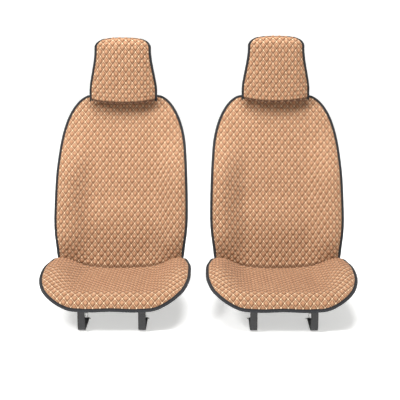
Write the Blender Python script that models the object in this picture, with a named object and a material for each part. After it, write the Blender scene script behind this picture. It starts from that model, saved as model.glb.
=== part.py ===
# A set of two fitted front seat covers, in the shape they take on their seats.
# Metres, +Z up. The seats face -Y. The origin is midway between the two covers, on the
# line where the back and seat sections meet.
import math

import bpy
from mathutils import Matrix, Vector

# The set
COVER_GAP = 0.049  # between the wider sections of the two covers
HEADREST_LIFT = {"left": 0.0, "right": 0.007}  # height of each headrest above its lowest stop
HEADREST_POST_LEAN = math.radians(20)
RECLINE = math.radians(22)  # lean of the back section from upright

# Sheet goods
QUILT_THICKNESS = 0.008  # face cloth and its foam, stitched together
LINING_THICKNESS = 0.0016
LAYER_GAP = 0.0006
PIPING_RADIUS = 0.0055
PIPING_GAP = 0.0013  # between the piping and the rim it is sewn to

# Back section; "up" is measured from the crease along the leaning back
BACK_LENGTH = 0.676
BACK_HALF_WIDTH = 0.251
BACK_FOOT_HALF_WIDTH = 0.222
BACK_WIDEST_AT = 0.190
BACK_TAPER = 0.009  # loss of half width between the widest row and the shoulders
SHOULDER_START = 0.450
NECK_HALF_WIDTH = 0.127
SHOULDER_ROUNDNESS = 2.35
BACK_BOLSTER_RISE = 0.052
BACK_SIDE_ROLL = 0.026
TOP_ROLL_START = 0.520
TOP_ROLL = 0.030
LUMBAR_BULGE = 0.010
LUMBAR_AT = 0.170
LUMBAR_END = 0.290
BACK_BOLSTER_FOOT_SHARE = 0.6  # of the bolster's rise, at the crease
BACK_BOLSTER_FULL_AT = 0.12
BACK_BOLSTER_FADE = (0.32, 0.56)

# Seat section; "along" is measured from the crease, forwards over the cushion
CUSHION_FLAT = 0.370
CUSHION_RISE = math.radians(3)
NOSE_RADIUS = 0.060
NOSE_TURN = math.radians(70)
HEM_DROP = 0.016  # straight part below the rounded nose
SEAT_LENGTH = CUSHION_FLAT + NOSE_RADIUS * NOSE_TURN + HEM_DROP
SEAT_HALF_WIDTH = 0.2655
COVER_SPACING = 2 * max(SEAT_HALF_WIDTH, BACK_HALF_WIDTH) + COVER_GAP  # between centre lines
SEAT_WIDEST_AT = 0.217
REAR_CORNER = 3.6  # squareness of the rear corners
FRONT_FLAT_HALF_WIDTH = 0.120
FRONT_ROUNDNESS = 2.45
SEAT_BOLSTER_RISE = 0.048
SEAT_SIDE_ROLL = 0.030
SIDE_ROLL_START = 0.145
HEM_WAVE = 0.0026
HEM_WAVE_AT = 0.070
HEM_WAVE_WIDTH = 0.045
SEAT_BOLSTER_FADE = 0.16  # where the bolsters start to sink towards the front hem
SIDE_ROLL_FROM = 0.30

# Bolster section, as shares of the half width
BOLSTER_FOOT = 0.42
BOLSTER_CREST = 0.84
BOLSTER_END = 1.12
FLANK_DROP = 0.40

# The crease between the sections
CREASE_RISE = 0.038
CREASE_FORWARD = 0.016
CREASE_CURVE = 2.2
CREASE_BLEND = 0.090
CREASE_CLEARANCE = 0.014  # the sections stop this far from the crease at its middle
CREASE_SIDE_CLEARANCE = 0.024  # and this much more at its sides, which swing furthest

# Headrest hood, on its own centre line
HOOD_FORWARD = 0.0582  # the fold at its foot, ahead of the back section's top edge
HOOD_BELOW = 0.0243  # and below that edge
HOOD_BOTTOM_Y = BACK_LENGTH * math.sin(RECLINE) - HOOD_FORWARD
HOOD_BOTTOM_Z = BACK_LENGTH * math.cos(RECLINE) - HOOD_BELOW
HOOD_LEAN = math.radians(4)
HOOD_FACE = 0.198
HOOD_UNDER_RADIUS = 0.014
HOOD_UNDER_TURN = math.radians(75)
HOOD_TOP_RADIUS = 0.036
HOOD_TOP_TURN = math.radians(105)
HOOD_UNDER_ARC = HOOD_UNDER_RADIUS * HOOD_UNDER_TURN
HOOD_LENGTH = HOOD_UNDER_ARC + HOOD_FACE + HOOD_TOP_RADIUS * HOOD_TOP_TURN
HOOD_HALF_WIDTH = 0.1315
HOOD_UPPER_HALF_WIDTH = 0.109
HOOD_TOP_HALF_WIDTH = 0.062
HOOD_WRAP = 0.034
HOOD_WIDTH_FADE = (0.04, 0.21)
HOOD_FOOT_CURVE = 0.013  # how far the foot's corners stand above its middle
HOOD_FOOT_BLEND = 0.110
HOOD_CORNER_START = 0.215
POCKET_THICKNESS = 0.0020
POCKET_DEPTH = 0.076
POCKET_HEM_RISE = 0.0295  # the pocket's hem above the fold
POCKET_HEM_Z = HOOD_BOTTOM_Z + POCKET_HEM_RISE
POCKET_FULLNESS = 2.4
ELASTIC_HEIGHT = 0.010

# Straps, buckle and hooks
FRONT_STRAP_WIDTH = 0.025
BACK_STRAP_WIDTH = 0.035
STRAP_THICKNESS = 0.0016
STRAP_CLEARANCE = 0.0012
FRONT_STRAP_AT = 0.102
FRONT_STRAP_SEWN = 0.016  # length sewn inside the hem
FRONT_STRAP_BOTTOM_Z = -0.108
FRONT_STRAP_BEND = 0.022
FRONT_STRAP_END_Y = -0.290
HOOK_WIRE_RADIUS = 0.0018
HOOK_LENGTH = 0.034
HOOK_MOUTH = 0.007
HOOK_THROAT = 0.0045
HOOK_SHOULDER = 0.008
BACK_STRAP_AT = 0.300
BACKREST_DEPTH = 0.112
BACK_STRAP_BEND = 0.040
BUCKLE_WIDTH = 0.046
BUCKLE_THICKNESS = 0.012
BUCKLE_WALL = 0.0022
SOCKET_LENGTH = 0.034
PLUG_BASE_LENGTH = 0.016
PLUG_REACH = 0.024
PRONG_WIDTH = 0.0052
MIDDLE_PRONG_WIDTH = 0.010
MIDDLE_PRONG_SHARE = 0.7
PRONG_ROOT = 0.006  # length of each prong inside the plug's base
PRONG_ROUNDING = 0.0012
WEBBING_SLOT = 0.0034
PLASTIC_ROUNDING = 0.0022
THROUGH = 0.02  # how much longer than its hole a cutter is
PLUG_CLEARANCE = 0.0006
SLIDER_AT = 0.125
SLIDER_LENGTH = 0.026
SLIDER_BAR = 0.0045

# Tuck flap
FLAP_HALF_WIDTH = 0.130
FLAP_START = 0.026
FLAP_LENGTH = 0.105
FLAP_FALL = math.radians(22)
FLAP_THICKNESS = 0.0014
TUCK_BAR_RADIUS = 0.006
TUCK_BAR_OVERHANG = 0.008

# Web between the back section and the hood
WEB_GAP = 0.0070
WEB_CROWN = 0.004

ACROSS = [-1, -0.93, -0.82, -0.65, -0.45, -0.16, 0.16, 0.45, 0.65, 0.82, 0.93, 1]
HOOD_ACROSS = [-1, -0.86, -0.62, -0.3, 0.0, 0.3, 0.62, 0.86, 1]
SHEET_ACROSS = [-1, -0.6, -0.2, 0.2, 0.6, 1]
EDGE_INSET = 2 * PIPING_RADIUS + PIPING_GAP
LAYERS = QUILT_THICKNESS + LAYER_GAP + LINING_THICKNESS
UP_BACK = Vector((0, math.sin(RECLINE), math.cos(RECLINE)))
OUT_OF_BACK = Vector((0, -math.cos(RECLINE), math.sin(RECLINE)))


def ramp(value, low, high):
    """0 up to low, 1 from high on, and a smooth step between."""
    share = min(max((value - low) / (high - low), 0), 1)
    return share * share * (3 - 2 * share)


def bolster(q):
    """Height of a side bolster across the half width: flat middle, crest, falling flank."""
    return ramp(q, BOLSTER_FOOT, BOLSTER_CREST) * (1 - FLANK_DROP * ramp(q, BOLSTER_CREST, BOLSTER_END))


# ---- Surfaces: each gives the point of a section's face from a distance across and along

def crease_point(x):
    share = (abs(x) / BACK_FOOT_HALF_WIDTH) ** CREASE_CURVE
    return Vector((x, -CREASE_FORWARD * share, CREASE_RISE * share))


def crease_clearance(q):
    return CREASE_CLEARANCE + CREASE_SIDE_CLEARANCE * abs(q) ** CREASE_CURVE


def back_half_width(up):
    if up < BACK_WIDEST_AT:
        narrowing = (BACK_WIDEST_AT - up) / BACK_WIDEST_AT
        return BACK_HALF_WIDTH - (BACK_HALF_WIDTH - BACK_FOOT_HALF_WIDTH) * narrowing**2
    taper = (up - BACK_WIDEST_AT) / (SHOULDER_START - BACK_WIDEST_AT)
    side = BACK_HALF_WIDTH - BACK_TAPER * taper**2
    if up < SHOULDER_START:
        return side
    round_off = min((up - SHOULDER_START) / (BACK_LENGTH - SHOULDER_START), 1)
    return NECK_HALF_WIDTH + (side - NECK_HALF_WIDTH) * math.sqrt(1 - round_off**SHOULDER_ROUNDNESS)


def back_point(x, up):
    q = abs(x) / back_half_width(up)
    upper = ramp(up, *BACK_BOLSTER_FADE)
    foot = BACK_BOLSTER_FOOT_SHARE
    rise = BACK_BOLSTER_RISE * (foot + (1 - foot) * ramp(up, 0, BACK_BOLSTER_FULL_AT))
    proud = rise * (1 - upper) * bolster(q)
    proud -= BACK_SIDE_ROLL * upper * (abs(x) / BACK_HALF_WIDTH) ** 3
    proud -= TOP_ROLL * (max(up - TOP_ROLL_START, 0) / (BACK_LENGTH - TOP_ROLL_START)) ** 2
    lumbar = ramp(up, 0.02, LUMBAR_AT) * (1 - ramp(up, LUMBAR_AT, LUMBAR_END))
    proud += LUMBAR_BULGE * lumbar * (1 - ramp(q, 0.3, 0.9))
    point = Vector((x, 0, 0)) + UP_BACK * up + OUT_OF_BACK * proud
    return crease_point(x).lerp(point, ramp(up, 0, CREASE_BLEND))


def seat_half_width(along):
    if along < SEAT_WIDEST_AT:
        narrowing = (SEAT_WIDEST_AT - along) / SEAT_WIDEST_AT
        return SEAT_HALF_WIDTH - (SEAT_HALF_WIDTH - BACK_FOOT_HALF_WIDTH) * narrowing**REAR_CORNER
    round_off = min((along - SEAT_WIDEST_AT) / (SEAT_LENGTH - SEAT_WIDEST_AT), 1)
    reach = SEAT_HALF_WIDTH - FRONT_FLAT_HALF_WIDTH
    return FRONT_FLAT_HALF_WIDTH + reach * math.sqrt(1 - round_off**FRONT_ROUNDNESS)


def arc_walk(start, slope, radius, turn):
    """End of an arc in the YZ plane that starts at a slope above -Y and bends downwards."""
    y = start[0] - radius * (math.sin(slope) - math.sin(slope - turn))
    z = start[1] + radius * (math.cos(slope - turn) - math.cos(slope))
    return y, z


def seat_centre(along):
    """Point (y, z) and slope of the cushion's centre line."""
    flat = min(along, CUSHION_FLAT)
    point = (-flat * math.cos(CUSHION_RISE), flat * math.sin(CUSHION_RISE))
    turn = min(max((along - CUSHION_FLAT) / NOSE_RADIUS, 0), NOSE_TURN)
    point = arc_walk(point, CUSHION_RISE, NOSE_RADIUS, turn)
    slope = CUSHION_RISE - turn
    left = max(along - CUSHION_FLAT - NOSE_RADIUS * NOSE_TURN, 0)
    return point[0] - left * math.cos(slope), point[1] + left * math.sin(slope), slope


def seat_point(x, along):
    q = abs(x) / seat_half_width(along)
    wave = HEM_WAVE * math.exp(-(((abs(x) - HEM_WAVE_AT) / HEM_WAVE_WIDTH) ** 2))
    y, z, slope = seat_centre(along + wave * ramp(along, CUSHION_FLAT, SEAT_LENGTH))
    proud = SEAT_BOLSTER_RISE * (1 - ramp(along, SEAT_BOLSTER_FADE, SEAT_LENGTH)) * bolster(q)
    outside = max(abs(x) - SIDE_ROLL_START, 0) / (SEAT_HALF_WIDTH - SIDE_ROLL_START)
    proud -= SEAT_SIDE_ROLL * outside**1.5 * ramp(along, SIDE_ROLL_FROM, SEAT_LENGTH)
    point = Vector((x, y + proud * math.sin(slope), z + proud * math.cos(slope)))
    return crease_point(x).lerp(point, ramp(along, 0, CREASE_BLEND))


def hood_half_width(along):
    side = HOOD_UPPER_HALF_WIDTH
    side += (HOOD_HALF_WIDTH - HOOD_UPPER_HALF_WIDTH) * (1 - ramp(along, *HOOD_WIDTH_FADE))
    round_off = max(along - HOOD_CORNER_START, 0) / (HOOD_LENGTH - HOOD_CORNER_START)
    return HOOD_TOP_HALF_WIDTH + (side - HOOD_TOP_HALF_WIDTH) * math.sqrt(max(1 - round_off**2, 0))


def hood_centre(along):
    """Point (y, z) and heading from upright of the hood's centre line: under, up and over the top."""
    under = min(along, HOOD_UNDER_ARC) - HOOD_UNDER_ARC
    face = min(max(along - HOOD_UNDER_ARC, 0), HOOD_FACE)
    over = max(along - HOOD_UNDER_ARC - HOOD_FACE, 0)
    heading = HOOD_LEAN + under / HOOD_UNDER_RADIUS
    y = HOOD_BOTTOM_Y + HOOD_UNDER_RADIUS * (math.cos(HOOD_LEAN) - math.cos(heading))
    z = HOOD_BOTTOM_Z - HOOD_UNDER_RADIUS * (math.sin(HOOD_LEAN) - math.sin(heading))
    y += face * math.sin(HOOD_LEAN)
    z += face * math.cos(HOOD_LEAN)
    turned = HOOD_LEAN + over / HOOD_TOP_RADIUS
    y += HOOD_TOP_RADIUS * (math.cos(HOOD_LEAN) - math.cos(turned))
    z += HOOD_TOP_RADIUS * (math.sin(turned) - math.sin(HOOD_LEAN))
    return y, z, heading + over / HOOD_TOP_RADIUS


def hood_point(x, along):
    y, z, heading = hood_centre(along)
    heading = max(heading, HOOD_LEAN)
    sunk = HOOD_WRAP * (abs(x) / HOOD_HALF_WIDTH) ** 3
    rise = HOOD_FOOT_CURVE * (x / HOOD_HALF_WIDTH) ** 2 * (1 - ramp(along, 0, HOOD_FOOT_BLEND))
    return Vector((x, y + sunk * math.cos(heading), z + rise - sunk * math.sin(heading)))


def pocket_point(q, share):
    """The hood's rear shell, from its hem (share 0) to the top piping (share 1)."""
    hem = HOOD_UNDER_ARC + (POCKET_HEM_Z - HOOD_BOTTOM_Z) / math.cos(HOOD_LEAN)
    along = hem + (HOOD_LENGTH - hem) * share
    half = hood_half_width(along) - EDGE_INSET / 2
    edge = hood_point(half, along)
    heading = hood_centre(along)[2]
    clear = EDGE_INSET + PIPING_GAP + POCKET_THICKNESS
    edge += Vector((0, clear * abs(math.cos(heading)), -clear * max(math.sin(heading), 0)))
    full = (1 - abs(q) ** POCKET_FULLNESS) ** 0.5
    depth = POCKET_DEPTH * math.sqrt(1 - share**3) * full
    crown = (hood_point(0, along).z - hood_point(half, along).z) * (1 - q * q)
    return Vector((half * q, edge.y + depth, edge.z + crown))


# ---- Grids of points

def eased(count, power):
    """Shares from 0 to 1 that crowd together towards 1."""
    return [1 - (1 - i / count) ** power for i in range(count + 1)]


def back_grid():
    rows = []
    for share in eased(13, 1.5):
        row = []
        for q in ACROSS:
            start = crease_clearance(q)
            up = start + (BACK_LENGTH - EDGE_INSET * ramp(share, 0.7, 1) - start) * share
            row.append(back_point(q * (back_half_width(up) - EDGE_INSET), up))
        rows.append(row)
    return rows


def seat_grid():
    rows = []
    for share in eased(14, 1.3):
        row = []
        for q in ACROSS:
            start = crease_clearance(q)
            along = start + (SEAT_LENGTH - EDGE_INSET - start) * share
            row.append(seat_point(q * (seat_half_width(along) - EDGE_INSET), along))
        rows.append(row)
    return rows[::-1]


def hood_grid():
    rows = []
    for share in eased(12, 1.2):
        along = (HOOD_LENGTH - EDGE_INSET) * share
        rows.append([hood_point(q * (hood_half_width(along) - EDGE_INSET), along) for q in HOOD_ACROSS])
    return rows


def rim(grid):
    """The open edge up one side, along the last row and down the other, with the grid's normals there."""
    last = len(grid) - 1
    steps = [(i, 0) for i in range(last)] + [(last, j) for j in range(len(grid[0]))]
    steps += [(i, len(grid[0]) - 1) for i in reversed(range(last))]
    return [(grid[i][j], grid_normal(grid, i, j)) for i, j in steps]


def grid_normal(grid, i, j):
    rows, columns = len(grid) - 1, len(grid[0]) - 1
    up = grid[min(i + 1, rows)][j] - grid[max(i - 1, 0)][j]
    across = grid[i][min(j + 1, columns)] - grid[i][max(j - 1, 0)]
    return across.cross(up).normalized()


def piping_path(grid):
    """Centres of the piping: just outside the rim, half way through the layers."""
    points = rim(grid)
    middle = sum((point for point, _ in points), Vector()) / len(points)
    path = []
    for index, (point, normal) in enumerate(points):
        ahead = points[min(index + 1, len(points) - 1)][0]
        behind = points[max(index - 1, 0)][0]
        outward = (ahead - behind).normalized().cross(normal)
        if outward.dot(point - middle) < 0:
            outward.negate()
        path.append(point + outward * (PIPING_RADIUS + PIPING_GAP) - normal * (LAYERS / 2))
    return path


# ---- Making objects

def material(name, colour, roughness, metallic=0.0):
    made = bpy.data.materials.new(name)
    made.use_nodes = True
    shader = made.node_tree.nodes["Principled BSDF"]
    shader.inputs["Base Color"].default_value = (*colour, 1)
    shader.inputs["Roughness"].default_value = roughness
    shader.inputs["Metallic"].default_value = metallic
    return made


def place(name, data, finish, parent, matrix=None):
    placed = bpy.data.objects.new(name, data)
    bpy.context.scene.collection.objects.link(placed)
    data.materials.append(finish)
    placed.parent = parent
    if matrix is not None:
        placed.matrix_local = matrix
    return placed


def grid_mesh(name, grid):
    columns = len(grid[0])
    points = [tuple(point) for row in grid for point in row]
    faces = []
    for i in range(len(grid) - 1):
        for j in range(columns - 1):
            corner = i * columns + j
            faces.append((corner, corner + 1, corner + columns + 1, corner + columns))
    mesh = bpy.data.meshes.new(name)
    mesh.from_pydata(points, [], faces)
    mesh.shade_smooth()
    return mesh


def thicken(obj, thickness, offset=-1.0, sink=0.0):
    """Gives a sheet its thickness behind its face, after sinking it behind another layer."""
    if sink:
        displace = obj.modifiers.new("Sink", "DISPLACE")
        displace.direction = "NORMAL"
        displace.mid_level = 0
        displace.strength = -sink
    solidify = obj.modifiers.new("Thickness", "SOLIDIFY")
    solidify.thickness = thickness
    solidify.offset = offset
    return obj


def quilt_and_lining(side, section, grid, parent):
    mesh = grid_mesh(f"{side}_{section}", grid)
    quilt = place(f"{side}_{section}_quilt", mesh, QUILT, parent)
    thicken(quilt, QUILT_THICKNESS)
    lining = place(f"{side}_{section}_lining", mesh.copy(), LINING, parent)
    lining.data.materials.clear()
    lining.data.materials.append(LINING)
    thicken(lining, LINING_THICKNESS, sink=QUILT_THICKNESS + LAYER_GAP)


def tube(name, points, radius, finish, parent, closed=False, resolution=1):
    curve = bpy.data.curves.new(name, "CURVE")
    curve.dimensions = "3D"
    curve.bevel_depth = radius
    curve.bevel_resolution = resolution
    curve.use_fill_caps = True
    spline = curve.splines.new("POLY")
    spline.points.add(len(points) - 1)
    for target, point in zip(spline.points, points):
        target.co = (*point, 1)
    spline.use_cyclic_u = closed
    return place(name, curve, finish, parent)


def ribbon(name, points, width_along, width, thickness, finish, parent):
    half = Vector(width_along) * (width / 2)
    mesh = grid_mesh(name, [[point - half, point + half] for point in points])
    return thicken(place(name, mesh, finish, parent), thickness, offset=0)


def box(name, size, centre, finish, parent, matrix, bevel=0.0):
    ring = ((-1, -1), (1, -1), (1, 1), (-1, 1))
    corners = [
        (centre[0] + x * size[0] / 2, centre[1] + y * size[1] / 2, centre[2] + z * size[2] / 2)
        for z in (-1, 1)
        for x, y in ring
    ]
    faces = [(0, 3, 2, 1), (4, 5, 6, 7), (0, 1, 5, 4), (1, 2, 6, 5), (2, 3, 7, 6), (3, 0, 4, 7)]
    mesh = bpy.data.meshes.new(name)
    mesh.from_pydata(corners, [], faces)
    made = place(name, mesh, finish, parent, matrix)
    if bevel:
        rounding = made.modifiers.new("Rounding", "BEVEL")
        rounding.width = bevel
        rounding.segments = 2
    return made


def combine(target, other, operation):
    other.hide_render = True
    other.display_type = "WIRE"
    cut = target.modifiers.new(operation.title(), "BOOLEAN")
    cut.operation = operation
    cut.object = other


# ---- The parts of one cover

def tuck_flap(side, root):
    """Flap that goes through the gap between backrest and cushion, with a bar in its hem."""
    direction = Vector((0, math.cos(FLAP_FALL), -math.sin(FLAP_FALL)))
    below = Vector((0, -math.sin(FLAP_FALL), -math.cos(FLAP_FALL)))
    loop = TUCK_BAR_RADIUS + FLAP_THICKNESS / 2 + STRAP_CLEARANCE
    across = [Vector((q * FLAP_HALF_WIDTH, 0, 0)) for q in SHEET_ACROSS]
    rows = []
    for share in (0, 0.25, 0.5, 0.75, 1):
        reach = direction * (FLAP_START + FLAP_LENGTH * share)
        rows.append([x.lerp(crease_point(x.x), 1 - share) + reach for x in across])
    bar_centre = direction * (FLAP_START + FLAP_LENGTH) + below * loop
    for step in range(1, 9):
        turn = math.radians(36 * step)
        around = direction * (loop * math.sin(turn)) - below * (loop * math.cos(turn))
        rows.append([x + bar_centre + around for x in across])
    flap = place(f"{side}_tuck_flap", grid_mesh(f"{side}_tuck_flap", rows), CLOTH, root)
    thicken(flap, FLAP_THICKNESS, offset=0)
    ends = [bar_centre + Vector((sign * (FLAP_HALF_WIDTH + TUCK_BAR_OVERHANG), 0, 0)) for sign in (-1, 1)]
    tube(f"{side}_tuck_bar", ends, TUCK_BAR_RADIUS, PLASTIC, root, resolution=3)


def behind_seat_face(x, along, depth):
    """A point at a depth behind the seat section's face."""
    ahead = seat_point(x, along + 0.002) - seat_point(x, along - 0.002)
    return seat_point(x, along) - Vector((0, ahead.z, -ahead.y)).normalized() * depth


def front_strap(side, place_name, x, root, hook_pivot):
    """Elastic strap from under the front hem, down the cushion and back beneath it, with its hook."""
    depth = LAYERS + 2 * STRAP_CLEARANCE + STRAP_THICKNESS
    hem = SEAT_LENGTH - EDGE_INSET
    sewn = (FRONT_STRAP_SEWN, FRONT_STRAP_SEWN / 2, 0)
    points = [behind_seat_face(x, hem - back_off, depth) for back_off in sewn]
    inside_y = points[-1].y + 0.001
    bend = FRONT_STRAP_BEND
    points.append(Vector((x, inside_y, points[-1].z - 0.018)))
    points.append(Vector((x, inside_y, FRONT_STRAP_BOTTOM_Z + bend)))
    for step in range(1, 5):
        turn = math.radians(22.5 * step)
        y = inside_y + bend * (1 - math.cos(turn))
        points.append(Vector((x, y, FRONT_STRAP_BOTTOM_Z + bend * (1 - math.sin(turn)))))
    loop = HOOK_WIRE_RADIUS + STRAP_THICKNESS / 2 + STRAP_CLEARANCE
    end = Vector((x, FRONT_STRAP_END_Y, FRONT_STRAP_BOTTOM_Z))
    points += [points[-1].lerp(end, 0.5), end]
    pivot = Vector((x, FRONT_STRAP_END_Y, FRONT_STRAP_BOTTOM_Z + loop))
    for step in range(1, 8):
        turn = math.radians(40 * step)
        points.append(pivot + Vector((0, loop * math.sin(turn), -loop * math.cos(turn))))
    name = f"{side}_front_strap_{place_name}"
    ribbon(name, points, (1, 0, 0), FRONT_STRAP_WIDTH, STRAP_THICKNESS, ELASTIC, root)
    hook_pivot.location = pivot
    bar = FRONT_STRAP_WIDTH / 2 + HOOK_WIRE_RADIUS + 2 * STRAP_CLEARANCE
    throat = HOOK_THROAT
    straight = HOOK_LENGTH - HOOK_MOUTH
    plan = ((bar, 0), (bar, HOOK_SHOULDER), (throat, 2 * HOOK_SHOULDER + 0.001), (throat, straight))
    half = [Vector((across, along, 0)) for across, along in plan]
    for step in range(1, 6):
        turn = math.radians(36 * step)
        reach = straight + HOOK_MOUTH * math.sin(turn)
        half.append(Vector((throat, reach, HOOK_MOUTH * (1 - math.cos(turn)))))
    half.append(Vector((throat, straight - 0.010, 2 * HOOK_MOUTH + 0.002)))
    other = [Vector((-point.x, point.y, point.z)) for point in reversed(half)]
    tube(f"{side}_hook_{place_name}", half + other, HOOK_WIRE_RADIUS, STEEL, hook_pivot, closed=True)


def back_strap_path(sign, end_x):
    """Path of one half of the back strap, from the lining round the backrest's side to end_x."""
    edge = back_half_width(BACK_STRAP_AT) - EDGE_INSET
    face = back_point(edge * 0.93, BACK_STRAP_AT)
    proud = (face - UP_BACK * BACK_STRAP_AT).dot(OUT_OF_BACK)
    start = -proud + LAYERS + STRAP_CLEARANCE + STRAP_THICKNESS
    side_x = edge + 0.004
    bend = BACK_STRAP_BEND
    plan = [(edge * 0.90, start + 0.004), (edge * 0.965, start + 0.008), (side_x, start + 0.024)]
    for step in range(0, 5):
        turn = math.radians(22.5 * step)
        plan.append((side_x - bend * (1 - math.cos(turn)), BACKREST_DEPTH - bend * (1 - math.sin(turn))))
    plan += [((side_x - bend + end_x) / 2, BACKREST_DEPTH), (end_x, BACKREST_DEPTH)]
    level = UP_BACK * BACK_STRAP_AT
    return [Vector((sign * across, 0, 0)) + level - OUT_OF_BACK * behind for across, behind in plan]


def strap_frame(sign, along=0):
    """Frame behind the backrest: x along the strap, y up the backrest, z out of it backwards."""
    centre = UP_BACK * BACK_STRAP_AT - OUT_OF_BACK * BACKREST_DEPTH
    turned = Matrix((
        (sign, 0, 0, 0),
        (0, sign * UP_BACK.y, -OUT_OF_BACK.y, 0),
        (0, sign * UP_BACK.z, -OUT_OF_BACK.z, 0),
        (0, 0, 0, 1),
    ))
    return Matrix.Translation(centre + Vector((sign * along, 0, 0))) @ turned


def buckle(side, sign, back, plug_pivot):
    """Side-release buckle: a hollow socket and a three-pronged plug that slides into it."""
    frame = strap_frame(sign)
    webbing = BACK_STRAP_WIDTH + 2 * STRAP_CLEARANCE
    deep = BUCKLE_THICKNESS + THROUGH
    room = (PLUG_REACH + 0.002, BUCKLE_WIDTH - 2 * BUCKLE_WALL, BUCKLE_THICKNESS - 2 * BUCKLE_WALL)
    socket = box(f"{side}_buckle_socket", (SOCKET_LENGTH, BUCKLE_WIDTH, BUCKLE_THICKNESS),
                 (-SOCKET_LENGTH / 2, 0, 0), PLASTIC, back, frame, bevel=PLASTIC_ROUNDING)
    cutters = (
        ("hollow", (room[0] + THROUGH / 2, room[1], room[2]), (THROUGH / 2 - room[0]) / 2),
        ("window", (0.014, BUCKLE_WIDTH + THROUGH, room[2]), -0.013),
        ("slot", (WEBBING_SLOT, webbing, deep), WEBBING_SLOT / 2 + BUCKLE_WALL - SOCKET_LENGTH),
    )
    for name, size, across in cutters:
        cutter = box(f"{side}_socket_{name}", size, (across, 0, 0), PLASTIC, back, frame)
        combine(socket, cutter, "DIFFERENCE")
    inner = (room[1] - 2 * PLUG_CLEARANCE, room[2] - 2 * PLUG_CLEARANCE)
    base = (PLUG_BASE_LENGTH, BUCKLE_WIDTH, BUCKLE_THICKNESS)
    plug = box(f"{side}_buckle_plug", base, (PLUG_BASE_LENGTH / 2 + PLUG_CLEARANCE, 0, 0),
               PLASTIC, plug_pivot, frame, bevel=PLASTIC_ROUNDING)
    outer = (inner[0] - PRONG_WIDTH) / 2
    prongs = (
        ("upper", outer, PRONG_WIDTH, PLUG_REACH),
        ("lower", -outer, PRONG_WIDTH, PLUG_REACH),
        ("middle", 0, MIDDLE_PRONG_WIDTH, PLUG_REACH * MIDDLE_PRONG_SHARE),
    )
    for name, offset, width, reach in prongs:
        size = (reach + PRONG_ROOT, width, inner[1])
        centre = ((PRONG_ROOT - reach) / 2 + PLUG_CLEARANCE, offset, 0)
        prong = box(f"{side}_plug_{name}_prong", size, centre, PLASTIC, plug_pivot, frame, bevel=PRONG_ROUNDING)
        combine(plug, prong, "UNION")
    bar = (PLUG_BASE_LENGTH - 2 * WEBBING_SLOT) / 3
    for name, across in (("near", bar + WEBBING_SLOT / 2), ("far", 2 * bar + 1.5 * WEBBING_SLOT)):
        slot = box(f"{side}_plug_{name}_slot", (WEBBING_SLOT, webbing, deep),
                   (across + PLUG_CLEARANCE, 0, 0), PLASTIC, plug_pivot, frame)
        combine(plug, slot, "DIFFERENCE")


def slider(side, sign, slider_pivot):
    """Adjuster on the plug side of the strap: a frame whose end bars and middle bar pinch the webbing."""
    frame = strap_frame(sign, SLIDER_AT)
    gap = (STRAP_THICKNESS + STRAP_CLEARANCE) / 2
    depth = 2 * (gap + BUCKLE_WALL)
    opening = BACK_STRAP_WIDTH + 2 * STRAP_CLEARANCE
    body = box(f"{side}_strap_slider", (SLIDER_LENGTH, opening + 2 * SLIDER_BAR, depth),
               (0, 0, 0), PLASTIC, slider_pivot, frame, bevel=PRONG_ROUNDING)
    window = (SLIDER_LENGTH - 3 * SLIDER_BAR) / 2
    reach = (window + SLIDER_BAR) / 2
    cutters = (
        ("through", (SLIDER_LENGTH + THROUGH, opening, 2 * gap), (0, 0, 0)),
        ("near_window", (window, opening, depth), (-reach, 0, depth / 2)),
        ("far_window", (window, opening, depth), (reach, 0, depth / 2)),
        ("underside", (SLIDER_LENGTH - 2 * SLIDER_BAR, opening, depth), (0, 0, -depth / 2)),
    )
    for name, size, centre in cutters:
        cutter = box(f"{side}_slider_{name}", size, centre, PLASTIC, slider_pivot, frame)
        combine(body, cutter, "DIFFERENCE")


def hood(side, pivot):
    grid = hood_grid()
    quilt_and_lining(side, "hood", grid, pivot)
    tube(f"{side}_hood_piping", piping_path(grid), PIPING_RADIUS, PIPING, pivot)
    shares = [1 - (1 - i / 8) ** 1.6 for i in range(9)]
    rows = [[pocket_point(q, share * 0.985) for q in HOOD_ACROSS] for share in shares]
    pocket = place(f"{side}_hood_pocket", grid_mesh(f"{side}_hood_pocket", rows[::-1]), CLOTH, pivot)
    thicken(pocket, POCKET_THICKNESS, offset=-1)
    below = Vector((0, -POCKET_THICKNESS / 2, -ELASTIC_HEIGHT / 2 - 0.001))
    hem = [pocket_point(q, 0) + below for q in HOOD_ACROSS]
    ribbon(f"{side}_hood_elastic", hem, (0, 0, 1), ELASTIC_HEIGHT, POCKET_THICKNESS, ELASTIC, pivot)


def neck_web(side, back, lift):
    """Cloth that runs on from the back section's top edge, forwards under the headrest to the hood."""
    half = NECK_HALF_WIDTH - EDGE_INSET
    top = back_point(0, BACK_LENGTH - EDGE_INSET) + UP_BACK * WEB_GAP - OUT_OF_BACK * (QUILT_THICKNESS / 2)
    rows = []
    for step in range(7):
        share = step / 6
        row = []
        for q in SHEET_ACROSS:
            start = Vector((q * half, top.y, top.z))
            end = hood_point(q * half, 0) + lift + Vector((0, LAYERS, 0))
            middle = (start + end) / 2 + Vector((0, 0, WEB_CROWN))
            row.append(start.lerp(middle, share).lerp(middle.lerp(end, share), share))
        rows.append(row)
    web = place(f"{side}_neck_web", grid_mesh(f"{side}_neck_web", rows), QUILT, back)
    thicken(web, LINING_THICKNESS * 2, offset=0)


def empty(name, parent, location=(0, 0, 0)):
    made = bpy.data.objects.new(name, None)
    bpy.context.scene.collection.objects.link(made)
    made.parent = parent
    made.location = location
    return made


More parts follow.
